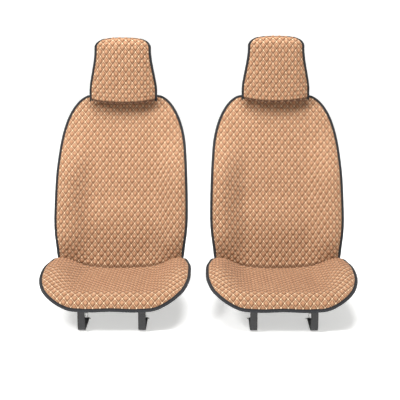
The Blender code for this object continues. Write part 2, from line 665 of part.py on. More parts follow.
def cover(side, sign):
    """One whole cover, sign -1 for the left and +1 for the right; inboard faces the other cover."""
    root = empty(f"{side}_cover", None, (sign * COVER_SPACING / 2, 0, 0))
    back = empty(f"{side}_recline_axis", root)
    posts = Vector((0, math.sin(HEADREST_POST_LEAN), math.cos(HEADREST_POST_LEAN)))
    lift = posts * HEADREST_LIFT[side]
    hood_axis = empty(f"{side}_hood_axis", back, lift)
    seat = seat_grid()
    quilt_and_lining(side, "seat", seat, root)
    tube(f"{side}_seat_piping", piping_path(seat[::-1]), PIPING_RADIUS, PIPING, root)
    backs = back_grid()
    quilt_and_lining(side, "back", backs, back)
    rim_path = piping_path(backs)
    neck_z = back_point(0, BACK_LENGTH - 2 * EDGE_INSET).z
    neck_x = NECK_HALF_WIDTH - EDGE_INSET
    neck = [i for i, point in enumerate(rim_path) if point.z > neck_z and abs(point.x) < neck_x]
    tube(f"{side}_back_piping_left", rim_path[: neck[0]], PIPING_RADIUS, PIPING, back)
    tube(f"{side}_back_piping_right", rim_path[neck[-1] + 1 :], PIPING_RADIUS, PIPING, back)
    neck_web(side, back, lift)
    hood(side, hood_axis)
    tuck_flap(side, root)
    for place_name, x in (("inboard", -sign * FRONT_STRAP_AT), ("outboard", sign * FRONT_STRAP_AT)):
        front_strap(side, place_name, x, root, empty(f"{side}_hook_axis_{place_name}", root))
    plug_axis = empty(f"{side}_plug_axis", back)
    buckle(side, sign, back, plug_axis)
    slider(side, sign, empty(f"{side}_slider_axis", back))
    halves = (
        ("socket_side", -sign, SOCKET_LENGTH + STRAP_CLEARANCE),
        ("plug_side", sign, PLUG_BASE_LENGTH + 2 * STRAP_CLEARANCE),
    )
    for name, way, end_x in halves:
        path = back_strap_path(way, end_x)
        ribbon(f"{side}_back_strap_{name}", path, UP_BACK, BACK_STRAP_WIDTH, STRAP_THICKNESS, ELASTIC, back)


for old in list(bpy.data.objects):
    bpy.data.objects.remove(old)
QUILT = material("tan quilted cloth", (0.50, 0.27, 0.14), 0.85)
LINING = material("anti-slip lining", (0.035, 0.035, 0.038), 0.9)
PIPING = material("grey piping tape", (0.055, 0.058, 0.062), 0.6)
CLOTH = material("black knitted cloth", (0.02, 0.02, 0.022), 0.85)
ELASTIC = material("black elastic webbing", (0.015, 0.015, 0.016), 0.75)
PLASTIC = material("black moulded plastic", (0.018, 0.018, 0.018), 0.4)
STEEL = material("zinc plated wire", (0.62, 0.62, 0.60), 0.35, 1.0)
cover("left", -1)
cover("right", 1)
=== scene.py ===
import math

import bpy
import numpy as np
from mathutils import Matrix, Vector


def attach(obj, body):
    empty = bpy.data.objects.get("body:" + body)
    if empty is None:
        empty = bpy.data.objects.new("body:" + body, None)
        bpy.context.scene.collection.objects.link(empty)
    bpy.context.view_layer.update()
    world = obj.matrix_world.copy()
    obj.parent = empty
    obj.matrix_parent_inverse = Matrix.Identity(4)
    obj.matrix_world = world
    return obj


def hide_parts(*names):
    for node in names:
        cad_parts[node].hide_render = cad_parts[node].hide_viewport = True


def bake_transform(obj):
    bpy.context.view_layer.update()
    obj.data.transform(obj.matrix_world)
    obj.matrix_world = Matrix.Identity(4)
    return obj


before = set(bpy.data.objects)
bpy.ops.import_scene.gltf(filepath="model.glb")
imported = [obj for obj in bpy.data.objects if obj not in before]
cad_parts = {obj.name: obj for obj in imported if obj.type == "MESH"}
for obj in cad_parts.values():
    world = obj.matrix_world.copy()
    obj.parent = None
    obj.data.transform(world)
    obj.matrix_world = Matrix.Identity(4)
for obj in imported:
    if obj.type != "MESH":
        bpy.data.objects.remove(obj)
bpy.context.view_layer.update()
print("frame loaded:", len(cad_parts), "nodes")

setLayout = {
    "spacing": 0.580,  # between the covers' centre lines
    "sides": {"left": -1, "right": 1},
    "headrestLift": {"left": 0.0, "right": 0.007},
    "postLean": math.radians(20),
    "recline": math.radians(22),
}
upBack = np.array([0, math.sin(setLayout["recline"]), math.cos(setLayout["recline"])])
outOfBack = np.array([0, -math.cos(setLayout["recline"]), math.sin(setLayout["recline"])])
postDirection = np.array([0, math.sin(setLayout["postLean"]), math.cos(setLayout["postLean"])])


def smoothStep(value, low, high):
    # 0 up to low, 1 from high on, and 3t² - 2t³ between, where t is the share of the way
    share = np.clip((value - low) / (high - low), 0, 1)
    return share * share * (3 - 2 * share)


def unit(vectors):
    # each vector divided by its own length
    return vectors / np.linalg.norm(vectors, axis=-1, keepdims=True)


def travelled(points):
    # running sum of the distances from each point to the next, from 0
    steps = np.linalg.norm(np.diff(points, axis=0), axis=-1)
    return np.concatenate([[0.0], np.cumsum(steps)])


def throughPoints(points, count, closed=False):
    # Catmull-Rom: between two points, the cubic whose slope at each is half the step between
    # that point's neighbours; then resampled to even steps of length
    points = np.asarray(points, float)
    if closed:
        padded = np.concatenate([points[-1:], points, points[:2]])
    else:
        padded = np.concatenate([2 * points[:1] - points[1:2], points, 2 * points[-1:] - points[-2:-1]])
    t = np.linspace(0, 1, 24, endpoint=False)[None, :, None]
    before, start, end, after = (padded[k : len(padded) - 3 + k, None, :] for k in range(4))
    cubic = start + 0.5 * t * (end - before + t * (2 * before - 5 * start + 4 * end - after
                               + t * (3 * (start - end) + after - before)))
    curve = cubic.reshape(-1, points.shape[1])
    curve = np.concatenate([curve, points[:1] if closed else points[-1:]])
    along = travelled(curve)
    places = np.linspace(0, along[-1], count, endpoint=not closed)
    return np.stack([np.interp(places, along, curve[:, k]) for k in range(points.shape[1])], -1)


creaseLine = {
    "rise": 0.038, "forward": 0.016, "curve": 2.2,  # how its ends stand up and forwards
    "blend": 0.090,  # length over which a panel eases into it
    "tuck": 0.0022, "tuckReach": 0.007,  # how far the face dips into the fold, and over what length
    "flatNear": (0.002, 0.010),  # where the puffs start to rise beside it
}
bolsterShape = {"foot": 0.42, "crest": 0.84, "end": 1.12, "flankDrop": 0.40}
backPanel = {
    "length": 0.676, "halfWidth": 0.251, "footHalfWidth": 0.222, "widestAt": 0.190, "taper": 0.009,
    "roundStart": 0.450, "endHalfWidth": 0.127, "roundness": 2.35,
    "bolsterRise": 0.052, "bolsterFade": (0.32, 0.56), "sideRoll": 0.026,
    "topRollStart": 0.520, "topRoll": 0.030,
    "lumbar": 0.010, "lumbarAt": 0.170, "lumbarEnd": 0.290,
}
seatPanel = {
    "flat": 0.370, "rise": math.radians(3), "noseRadius": 0.060, "noseTurn": math.radians(70), "hemDrop": 0.016,
    "halfWidth": 0.2655, "roundStart": 0.217, "rearCorner": 3.6, "endHalfWidth": 0.120, "roundness": 2.45,
    "bolsterRise": 0.048, "bolsterFade": 0.16, "sideRoll": 0.030, "sideRollStart": 0.145, "sideRollFrom": 0.30,
    "hemWave": 0.0026, "hemWaveAt": 0.070, "hemWaveWidth": 0.045,
}
seatPanel["length"] = seatPanel["flat"] + seatPanel["noseRadius"] * seatPanel["noseTurn"] + seatPanel["hemDrop"]
hoodPanel = {
    "bottomY": 0.19503, "bottomZ": 0.60248, "lean": math.radians(4), "face": 0.198,
    "underRadius": 0.014, "underTurn": math.radians(75), "topRadius": 0.036, "topTurn": math.radians(105),
    "halfWidth": 0.1315, "upperHalfWidth": 0.109, "widthFade": (0.04, 0.21), "footCurve": 0.013, "footBlend": 0.110,
    "roundStart": 0.215, "endHalfWidth": 0.062, "roundness": 2.0, "wrap": 0.034,
}
hoodPanel["underArc"] = hoodPanel["underRadius"] * hoodPanel["underTurn"]
hoodPanel["length"] = hoodPanel["underArc"] + hoodPanel["face"] + hoodPanel["topRadius"] * hoodPanel["topTurn"]


def bolsterHeight(q):
    # 0 in the flat middle, 1 at the crest, and less again on the flank
    s = bolsterShape
    return smoothStep(q, s["foot"], s["crest"]) * (1 - s["flankDrop"] * smoothStep(q, s["crest"], s["end"]))


def creasePoint(x):
    # the fold: forwards and upwards by the 2.2 power of the share of the half width
    share = (np.abs(x) / backPanel["footHalfWidth"]) ** creaseLine["curve"]
    return np.stack([x, -creaseLine["forward"] * share, creaseLine["rise"] * share], -1)


def roundedHalfWidth(side, panel, along):
    # the side's half width, drawn in to endHalfWidth along a superellipse between roundStart and the end
    share = np.clip((along - panel["roundStart"]) / (panel["length"] - panel["roundStart"]), 0, 1)
    return panel["endHalfWidth"] + (side - panel["endHalfWidth"]) * np.sqrt(1 - share ** panel["roundness"])


def backHalfWidth(up):
    # narrower by a square law below the widest row, a slight taper above it, then the shoulders
    p = backPanel
    below = np.clip(p["widestAt"] - up, 0, None) / p["widestAt"]
    above = np.clip(up - p["widestAt"], 0, None) / (p["roundStart"] - p["widestAt"])
    side = p["halfWidth"] - (p["halfWidth"] - p["footHalfWidth"]) * below**2 - p["taper"] * above**2
    return roundedHalfWidth(side, p, up)


def backPoint(x, up):
    # leaning plane, plus the side bolsters and lumbar bulge, less the rolls at the sides and top
    p = backPanel
    x, up = np.broadcast_arrays(np.asarray(x, float), np.asarray(up, float))
    q = np.abs(x) / backHalfWidth(up)
    upper = smoothStep(up, *p["bolsterFade"])
    proud = p["bolsterRise"] * (0.6 + 0.4 * smoothStep(up, 0, 0.12)) * (1 - upper) * bolsterHeight(q)
    proud = proud - p["sideRoll"] * upper * (np.abs(x) / p["halfWidth"]) ** 3
    beyond = np.clip(up - p["topRollStart"], 0, None) / (p["length"] - p["topRollStart"])
    proud = proud - p["topRoll"] * beyond**2
    lumbar = smoothStep(up, 0.02, p["lumbarAt"]) * (1 - smoothStep(up, p["lumbarAt"], p["lumbarEnd"]))
    proud = proud + p["lumbar"] * lumbar * (1 - smoothStep(q, 0.3, 0.9))
    face = up[..., None] * upBack + proud[..., None] * outOfBack + x[..., None] * np.array([1.0, 0, 0])
    crease = creasePoint(x)
    return crease + smoothStep(up, 0, creaseLine["blend"])[..., None] * (face - crease)


def seatHalfWidth(along):
    # square rear corners by a high power, then the rounded front
    p = seatPanel
    behind = np.clip(p["roundStart"] - along, 0, None) / p["roundStart"]
    side = p["halfWidth"] - (p["halfWidth"] - backPanel["footHalfWidth"]) * behind ** p["rearCorner"]
    return roundedHalfWidth(side, p, along)


def seatCentre(along):
    # y, z and slope of the middle line: straight, then an arc over the nose, then straight down it
    p = seatPanel
    flat = np.minimum(along, p["flat"])
    turn = np.clip((along - p["flat"]) / p["noseRadius"], 0, p["noseTurn"])
    slope = p["rise"] - turn
    left = np.clip(along - p["flat"] - p["noseRadius"] * p["noseTurn"], 0, None)
    y = -flat * math.cos(p["rise"]) - p["noseRadius"] * (math.sin(p["rise"]) - np.sin(slope)) - left * np.cos(slope)
    z = flat * math.sin(p["rise"]) + p["noseRadius"] * (np.cos(slope) - math.cos(p["rise"])) + left * np.sin(slope)
    return y, z, slope


def seatPoint(x, along):
    # the middle line, moved off itself by the side bolsters and by the rolls at the front corners
    p = seatPanel
    x, along = np.broadcast_arrays(np.asarray(x, float), np.asarray(along, float))
    q = np.abs(x) / seatHalfWidth(along)
    bump = np.exp(-(((np.abs(x) - p["hemWaveAt"]) / p["hemWaveWidth"]) ** 2))
    y, z, slope = seatCentre(along + p["hemWave"] * bump * smoothStep(along, p["flat"], p["length"]))
    proud = p["bolsterRise"] * (1 - smoothStep(along, p["bolsterFade"], p["length"])) * bolsterHeight(q)
    outside = np.clip(np.abs(x) - p["sideRollStart"], 0, None) / (p["halfWidth"] - p["sideRollStart"])
    proud = proud - p["sideRoll"] * outside**1.5 * smoothStep(along, p["sideRollFrom"], p["length"])
    face = np.stack([x, y + proud * np.sin(slope), z + proud * np.cos(slope)], -1)
    crease = creasePoint(x)
    return crease + smoothStep(along, 0, creaseLine["blend"])[..., None] * (face - crease)


def hoodHalfWidth(along):
    # wider at the foot, then the rounded top corners
    p = hoodPanel
    widening = (p["halfWidth"] - p["upperHalfWidth"]) * (1 - smoothStep(along, *p["widthFade"]))
    return roundedHalfWidth(p["upperHalfWidth"] + widening, p, along)


def hoodCentre(along):
    # y, z and heading of the middle line: a tight arc under, the straight face, a wide arc over the top
    p = hoodPanel
    under = np.minimum(along, p["underArc"]) - p["underArc"]
    face = np.clip(along - p["underArc"], 0, p["face"])
    over = np.clip(along - p["underArc"] - p["face"], 0, None)
    low = p["lean"] + under / p["underRadius"]
    high = p["lean"] + over / p["topRadius"]
    y = p["bottomY"] + p["underRadius"] * (math.cos(p["lean"]) - np.cos(low)) + face * math.sin(p["lean"])
    z = p["bottomZ"] + p["underRadius"] * (np.sin(low) - math.sin(p["lean"])) + face * math.cos(p["lean"])
    y = y + p["topRadius"] * (math.cos(p["lean"]) - np.cos(high))
    z = z + p["topRadius"] * (np.sin(high) - math.sin(p["lean"]))
    return y, z, low + over / p["topRadius"]


def hoodPoint(x, along):
    # the middle line, sunk by the cube of the distance across so that the sides wrap back, and
    # raised by its square at the foot
    x, along = np.broadcast_arrays(np.asarray(x, float), np.asarray(along, float))
    y, z, heading = hoodCentre(along)
    heading = np.maximum(heading, hoodPanel["lean"])
    share = np.abs(x) / hoodPanel["halfWidth"]
    sunk = hoodPanel["wrap"] * share**3
    rise = hoodPanel["footCurve"] * share**2 * (1 - smoothStep(along, 0, hoodPanel["footBlend"]))
    return np.stack([x, y + sunk * np.cos(heading), z + rise - sunk * np.sin(heading)], -1)


# the facing of each panel says which way its rows have to run for its face to point outwards
sections = {
    "back": {"shape": backPanel, "point": backPoint, "half": backHalfWidth, "facing": 1, "crease": True},
    "seat": {"shape": seatPanel, "point": seatPoint, "half": seatHalfWidth, "facing": -1, "crease": True},
    "hood": {"shape": hoodPanel, "point": hoodPoint, "half": hoodHalfWidth, "facing": 1, "crease": False},
}
foldNormal = unit(outOfBack + np.array([0, math.sin(seatPanel["rise"]), math.cos(seatPanel["rise"])]))


def rowPlaces(section, end, spacing):
    # even steps of true length on the middle line up to the rounded stretch, then steps that
    # follow a sine, which crowd together towards the end
    start = section["shape"]["roundStart"]
    fine = np.linspace(0, start, 4000)
    length = travelled(section["point"](np.zeros_like(fine), fine))
    even = np.linspace(0, length[-1], int(round(length[-1] / spacing)) + 1)
    turns = np.linspace(0, np.pi / 2, int(round(1.57 * (end - start) / spacing)) + 1)[1:]
    return np.concatenate([np.interp(even, length, fine), start + (end - start) * np.sin(turns)])


def rimDistance(section, x, along):
    # distance to the outline: the height of the right triangle between the distance across to it
    # and the distance along to it
    panel = section["shape"]
    table = np.linspace(panel["roundStart"], panel["length"], 600)
    widths = section["half"](table)
    across = np.clip(section["half"](along) - np.abs(x), 1e-6, None)
    ahead = np.interp(np.abs(x), widths[::-1], table[::-1]) - along
    ahead = np.clip(ahead, 1e-6, None)
    return across * ahead / np.hypot(across, ahead)


def panelGrid(section, spacing, columns, inset):
    # rows by rowPlaces, columns at even shares of the half width; also the cloth's own lengths
    # u across each row and v up the middle line, the distance to the rim, and the face normals
    places = rowPlaces(section, section["shape"]["length"] - inset, spacing)
    shares = np.linspace(-1, 1, columns)
    x = (section["half"](places) - inset)[:, None] * shares[None, :]
    along = np.repeat(places[:, None], columns, axis=1)
    points = section["point"](x, along)
    u, v = acrossCloth(points), alongCloth(points)
    rim = rimDistance(section, x, along)
    if section["facing"] < 0:
        points, u, v, rim = (a[::-1] for a in (points, u, v, rim))
    normals = np.cross(np.gradient(points, axis=1), np.gradient(points, axis=0))
    normals = unit(normals)
    if section["crease"]:
        away = smoothStep(v, 0, 0.030)[..., None]
        normals = unit(foldNormal * (1 - away) + normals * away)
    return {"points": points, "normals": normals, "u": u, "v": section["facing"] * v, "fold": v, "rim": rim}


def acrossCloth(points):
    # running length along each row, from 0 at its middle column
    steps = np.linalg.norm(np.diff(points, axis=1), axis=-1)
    u = np.concatenate([np.zeros((len(points), 1)), np.cumsum(steps, axis=1)], axis=1)
    middle = points.shape[1] // 2
    return u - u[:, middle : middle + 1]


def alongCloth(points):
    # running length of the middle column, the same in every column
    columns = points.shape[1]
    return np.repeat(travelled(points[:, columns // 2])[:, None], columns, axis=1)


def sheetArea(middle):
    # half the length of the cross product of each cell's diagonals, summed
    diagonals = np.cross(middle[1:, 1:] - middle[:-1, :-1], middle[1:, :-1] - middle[:-1, 1:])
    return 0.5 * np.linalg.norm(diagonals, axis=-1).sum()


def gridQuads(rows, columns, first=0):
    # the four corners of every cell, in the order that faces across × along
    corner = (np.arange(rows - 1)[:, None] * columns + np.arange(columns - 1)[None, :]).ravel() + first
    return np.stack([corner, corner + 1, corner + columns + 1, corner + columns], -1)


def makeMesh(name, points, quads, uv, fans=()):
    # loops are the quads' corners and then any many-sided faces; a shell whose signed volume
    # is negative is turned inside out
    points = np.ascontiguousarray(points, dtype=np.float64).reshape(-1, 3)
    sizes = np.concatenate([np.full(len(quads), 4), np.array([len(fan) for fan in fans], int)]).astype(int)
    starts = np.concatenate([[0], np.cumsum(sizes)[:-1]])
    p = points - points.mean(0)
    a, b, c, d = (p[quads[:, k]] for k in range(4))
    volume = np.einsum("ij,ij->", a, np.cross(b, c)) + np.einsum("ij,ij->", a, np.cross(c, d))
    if volume < 0:
        quads = quads[:, ::-1]
        fans = [fan[::-1] for fan in fans]
    loops = np.concatenate([quads.ravel(), *fans])
    mesh = bpy.data.meshes.new(name)
    mesh.vertices.add(len(points))
    mesh.vertices.foreach_set("co", points.ravel())
    mesh.loops.add(len(loops))
    mesh.loops.foreach_set("vertex_index", loops.astype(np.int32))
    mesh.polygons.add(len(sizes))
    mesh.polygons.foreach_set("loop_start", starts.astype(np.int32))
    mesh.polygons.foreach_set("use_smooth", np.ones(len(sizes), bool))
    mesh.update(calc_edges=True)
    layer = mesh.uv_layers.new(name="UVMap")
    layer.data.foreach_set("uv", np.asarray(uv, float).reshape(-1, 2)[loops].ravel())
    mesh.validate()
    return mesh


def closedSlab(name, front, behind, uv):
    # the front grid, the same grid turned round behind it, and a strip round the four edges
    rows, columns = front.shape[:2]
    count = rows * columns
    face = gridQuads(rows, columns)
    other = gridQuads(rows, columns, count)[:, ::-1]
    index = np.arange(count).reshape(rows, columns)
    edge = np.concatenate([index[0, :-1], index[:-1, -1], index[-1, :0:-1], index[:0:-1, 0]])
    after = np.roll(edge, -1)
    strip = np.stack([after, edge, edge + count, after + count], -1)
    points = np.concatenate([front.reshape(-1, 3), behind.reshape(-1, 3)])
    return makeMesh(name, points, np.concatenate([face, other, strip]), np.concatenate([uv.reshape(-1, 2)] * 2))


def sweptProfile(name, centre, outward, normal, profile, closed=False):
    # every point of the profile at centre + outward * o + normal * h, for each place on the path;
    # u runs round the profile and v along the path
    profile = np.asarray(profile, float)
    if profile.ndim == 2:
        profile = np.repeat(profile[None], len(centre), axis=0)
    points = centre[:, None] + outward[:, None] * profile[..., :1] + normal[:, None] * profile[..., 1:]
    sections, around = profile.shape[:2]
    index = np.arange(sections * around).reshape(sections, around)
    nextAround = np.roll(index, -1, axis=1)
    ends = slice(None) if closed else slice(-1)
    here, there = index[ends], np.roll(index, -1, axis=0)[ends]
    herePast, therePast = nextAround[ends], np.roll(nextAround, -1, axis=0)[ends]
    quads = np.stack([here, herePast, therePast, there], -1).reshape(-1, 4)
    first = profile[0]
    u = np.concatenate([[0], np.cumsum(np.linalg.norm(np.diff(first, axis=0), axis=-1))])
    uv = np.stack(np.broadcast_arrays(u[None, :], travelled(centre)[:, None]), -1)
    fans = [] if closed else [index[0][::-1], index[-1]]
    return makeMesh(name, points, quads, uv, fans)


def addPiece(name, mesh, material, offset=(0, 0, 0)):
    # a new object at the origin, with its place in its mesh
    mesh.transform(Matrix.Translation(Vector(offset)))
    mesh.materials.append(material)
    piece = bpy.data.objects.new(name, mesh)
    bpy.context.scene.collection.objects.link(piece)
    return piece


def feed(tree, socket, value):
    # a link if the value is another node's output, or else a plain number or colour
    if isinstance(value, bpy.types.NodeSocket):
        tree.links.new(value, socket)
    else:
        socket.default_value = value


def calc(tree, operation, *values):
    # one Math node on its values
    node = tree.nodes.new("ShaderNodeMath")
    node.operation = operation
    for socket, value in zip(node.inputs, values):
        feed(tree, socket, value)
    return node.outputs[0]


def fade(tree, value, low, high, atLow=0.0, atHigh=1.0):
    # a smooth step between two values of the input
    node = tree.nodes.new("ShaderNodeMapRange")
    node.interpolation_type = "SMOOTHSTEP"
    inputs = {"Value": value, "From Min": low, "From Max": high, "To Min": atLow, "To Max": atHigh}
    for name, number in inputs.items():
        feed(tree, node.inputs[name], number)
    return node.outputs[0]


def mixColour(tree, share, first, second):
    # one colour into another by a share from 0 to 1
    node = tree.nodes.new("ShaderNodeMix")
    node.data_type = "RGBA"
    feed(tree, node.inputs[0], share)
    for index, colour in ((6, first), (7, second)):
        feed(tree, node.inputs[index], (*colour, 1) if isinstance(colour, tuple) else colour)
    return node.outputs[2]


def noise(tree, place, scale, detail=2.0, roughness=0.5, stretch=(1, 1, 1)):
    # fractal noise at a scale, drawn out along an axis by the stretch
    mapping = tree.nodes.new("ShaderNodeMapping")
    mapping.inputs["Scale"].default_value = stretch
    tree.links.new(place, mapping.inputs["Vector"])
    node = tree.nodes.new("ShaderNodeTexNoise")
    tree.links.new(mapping.outputs[0], node.inputs["Vector"])
    node.inputs["Scale"].default_value = scale
    node.inputs["Detail"].default_value = detail
    node.inputs["Roughness"].default_value = roughness
    return node.outputs[0]


def bump(tree, height, distance, under=None):
    # surface relief from a height, in metres per unit of height
    node = tree.nodes.new("ShaderNodeBump")
    node.inputs["Strength"].default_value = 1.0
    node.inputs["Distance"].default_value = distance
    tree.links.new(height, node.inputs["Height"])
    if under is not None:
        tree.links.new(under, node.inputs["Normal"])
    return node.outputs[0]


def newFinish(name, roughness, sheen=0.0, sheenRoughness=0.5, sheenTint=(1, 1, 1), metallic=0.0, specular=0.5):
    # a material with its steady numbers on the shader, and the places that its pattern reads
    material = bpy.data.materials.new(name)
    material.use_nodes = True
    tree = material.node_tree
    shader = tree.nodes["Principled BSDF"]
    shader.inputs["Roughness"].default_value = roughness
    shader.inputs["Metallic"].default_value = metallic
    shader.inputs["Specular IOR Level"].default_value = specular
    shader.inputs["Sheen Weight"].default_value = sheen
    shader.inputs["Sheen Roughness"].default_value = sheenRoughness
    shader.inputs["Sheen Tint"].default_value = (*sheenTint, 1)
    where = tree.nodes.new("ShaderNodeTexCoord")
    uvMap = tree.nodes.new("ShaderNodeUVMap")
    uvMap.uv_map = "UVMap"
    split = tree.nodes.new("ShaderNodeSeparateXYZ")
    tree.links.new(uvMap.outputs[0], split.inputs[0])
    places = {"object": where.outputs["Object"], "uv": uvMap.outputs[0], "u": split.outputs[0], "v": split.outputs[1]}
    return material, tree, shader, places


def wave(tree, value, length):
    # sine of the value, one turn in each length
    return calc(tree, "SINE", calc(tree, "MULTIPLY", value, 2 * math.pi / length))


def diagonal(tree, one, two):
    # square root of the sum of the squares
    return calc(tree, "SQRT", calc(tree, "ADD", calc(tree, "MULTIPLY", one, one), calc(tree, "MULTIPLY", two, two)))


def nearestLine(tree, value):
    # 0 on every whole number and 0.5 half way between
    return calc(tree, "ABSOLUTE", calc(tree, "SUBTRACT", calc(tree, "FRACT", calc(tree, "ADD", value, 0.5)), 0.5))


def dashes(tree, along, perUnit, gap):
    # 1 on a stitch and 0 in the gap before the next
    share = calc(tree, "FRACT", calc(tree, "MULTIPLY", along, perUnit))
    phase = calc(tree, "ABSOLUTE", calc(tree, "SUBTRACT", share, 0.5))
    return fade(tree, phase, 0.5 - gap, 0.5 - gap * 0.55, 1.0, 0.0)


quilting = {
    "width": 0.0245, "height": 0.0330,  # one diamond
    "loft": 0.0062,  # how far a diamond stands above its stitch lines
    "softness": 2.2,  # higher is flatter on top with steeper sides
    "frontSink": 0.0032, "backSink": 0.0076, "rimSink": 0.0024,
    "rimFade": (0.010, 0.021),
    "inset": 0.006,  # how far inside the outline the slab ends
}
clothLook = {
    "face": (0.400, 0.206, 0.109), "flank": (0.100, 0.038, 0.017),
    "fleckDark": (0.245, 0.114, 0.056), "fleckLight": (0.590, 0.350, 0.208),
    "foldShade": (0.070, 0.030, 0.016), "foldReach": (0.0060, 0.0130),  # painted shade where a fold closes
    "thread": (0.740, 0.500, 0.305), "knot": (0.900, 0.690, 0.460),
    "threadHalfWidth": 0.0013, "knotRadius": 0.0026, "stitchesPerSide": 6, "stitchGap": 0.16,
    "weave": 0.0011,
}


def quiltCloth(name, foldShadeStrength):
    # tan heathered cloth. The stitch lines are where u/width ± v/height is whole, the stitches are
    # dashes along them, a lighter knot sits where two lines cross, painted shade darkens the diamonds'
    # flanks beside the lines, and painted shade darkens it near a fold at v = 0
    look = clothLook
    material, tree, shader, places = newFinish(name, 0.86, 0.18, 0.45, (1.0, 0.86, 0.72), 0.0, 0.25)
    u, v = places["u"], places["v"]
    across = calc(tree, "DIVIDE", u, quilting["width"])
    up = calc(tree, "DIVIDE", v, quilting["height"])
    first = calc(tree, "ADD", across, up)
    second = calc(tree, "SUBTRACT", across, up)
    perUnit = 1 / math.hypot(1 / quilting["width"], 1 / quilting["height"])
    firstLine = calc(tree, "MULTIPLY", nearestLine(tree, first), perUnit)
    secondLine = calc(tree, "MULTIPLY", nearestLine(tree, second), perUnit)
    half = look["threadHalfWidth"]
    onFirst, onSecond = (
        calc(tree, "MULTIPLY", fade(tree, line, half * 0.6, half * 1.3, 1.0, 0.0),
             dashes(tree, other, look["stitchesPerSide"], look["stitchGap"]))
        for line, other in ((firstLine, second), (secondLine, first))
    )
    thread = calc(tree, "MAXIMUM", onFirst, onSecond)
    fromKnot = diagonal(tree, firstLine, secondLine)
    knot = fade(tree, fromKnot, look["knotRadius"] * 0.55, look["knotRadius"], 1.0, 0.0)
    groove = fade(tree, calc(tree, "MINIMUM", firstLine, secondLine), 0.0, 0.0026, 0.0, 1.0)
    weft = wave(tree, u, look["weave"])
    warp = wave(tree, v, look["weave"])
    weave = calc(tree, "MULTIPLY", weft, warp)
    fleck = noise(tree, places["object"], 430, 2.0, 0.6)
    slub = noise(tree, places["uv"], 190, 2.0, 0.6, (0.35, 1.6, 1))
    patch = noise(tree, places["object"], 38, 2.0, 0.5)
    colour = mixColour(tree, fade(tree, fleck, 0.36, 0.60, 0.62, 0.0), look["face"], look["fleckDark"])
    colour = mixColour(tree, fade(tree, slub, 0.50, 0.72, 0.0, 0.60), colour, look["fleckLight"])
    colour = mixColour(tree, fade(tree, patch, 0.40, 0.66, 0.0, 0.16), colour, look["fleckLight"])
    # painted shade: each diamond's flanks darker towards the stitch lines, where the grooves fall into shadow
    flank = fade(tree, calc(tree, "MINIMUM", firstLine, secondLine), 0.0012, 0.0068, 0.80, 0.0)
    colour = mixColour(tree, flank, colour, look["flank"])
    colour = mixColour(tree, calc(tree, "MULTIPLY", thread, 0.85), colour, look["thread"])
    colour = mixColour(tree, calc(tree, "MULTIPLY", knot, 0.80), colour, look["knot"])
    # painted shade: darker near the fold at v = 0, standing in for the shadow of the closed fold
    foldShadeShare = fade(tree, calc(tree, "ABSOLUTE", v), *look["foldReach"], foldShadeStrength, 0.0)
    colour = mixColour(tree, foldShadeShare, colour, look["foldShade"])
    tree.links.new(colour, shader.inputs["Base Color"])
    relief = bump(tree, calc(tree, "ADD", weave, calc(tree, "MULTIPLY", fleck, 3.0)), 0.00010)
    relief = bump(tree, groove, 0.00070, relief)
    relief = bump(tree, calc(tree, "MAXIMUM", thread, knot), 0.00045, relief)
    tree.links.new(relief, shader.inputs["Normal"])
    return material


liningLook = {"cloth": (0.017, 0.017, 0.019), "dot": (0.034, 0.034, 0.036), "dotEvery": 0.0080, "dotRadius": 0.0014,
              "rib": 0.0009}


def gripLining():
    # black tricot with rubber dots on a staggered grid: a dot where u ± v is whole, in dot spacings
    look = liningLook
    material, tree, shader, places = newFinish("gripLining", 0.88, 0.10, 0.4, (1, 1, 1), 0.0, 0.3)
    u, v = places["u"], places["v"]
    spacing = look["dotEvery"] * math.sqrt(2)
    first = calc(tree, "DIVIDE", calc(tree, "ADD", u, v), spacing)
    second = calc(tree, "DIVIDE", calc(tree, "SUBTRACT", u, v), spacing)
    one = calc(tree, "MULTIPLY", nearestLine(tree, first), look["dotEvery"])
    two = calc(tree, "MULTIPLY", nearestLine(tree, second), look["dotEvery"])
    away = diagonal(tree, one, two)
    dot = fade(tree, away, look["dotRadius"] * 0.6, look["dotRadius"], 1.0, 0.0)
    grain = noise(tree, places["object"], 900, 2.0, 0.6)
    soft = noise(tree, places["object"], 26, 2.0, 0.5)
    cloth = mixColour(tree, fade(tree, soft, 0.35, 0.70), look["cloth"], (0.027, 0.027, 0.030))
    cloth = mixColour(tree, fade(tree, grain, 0.50, 0.70, 0.0, 0.5), cloth, (0.050, 0.050, 0.054))
    tree.links.new(mixColour(tree, dot, cloth, look["dot"]), shader.inputs["Base Color"])
    tree.links.new(fade(tree, dot, 0.0, 1.0, 0.88, 0.42), shader.inputs["Roughness"])
    ribs = wave(tree, u, look["rib"])
    relief = bump(tree, calc(tree, "ADD", ribs, grain), 0.00008)
    tree.links.new(bump(tree, dot, 0.00050, relief), shader.inputs["Normal"])
    return material


bindingLook = {
    "tape": (0.010, 0.010, 0.011), "high": (0.026, 0.027, 0.029), "thread": (0.050, 0.051, 0.055),
    "crownHighlight": (0.036, 0.037, 0.041), "crownHighlightFrom": (0.0045, 0.0080),  # the crown of the fold, a painted highlight that makes it paler
    "shade": (0.012, 0.011, 0.012), "lip": (0.0012, 0.0036),  # the lip beside the quilt
    "twill": 0.0013, "stitchRow": 0.0032, "rowHalfWidth": 0.00045, "stitchLength": 0.0032,
}


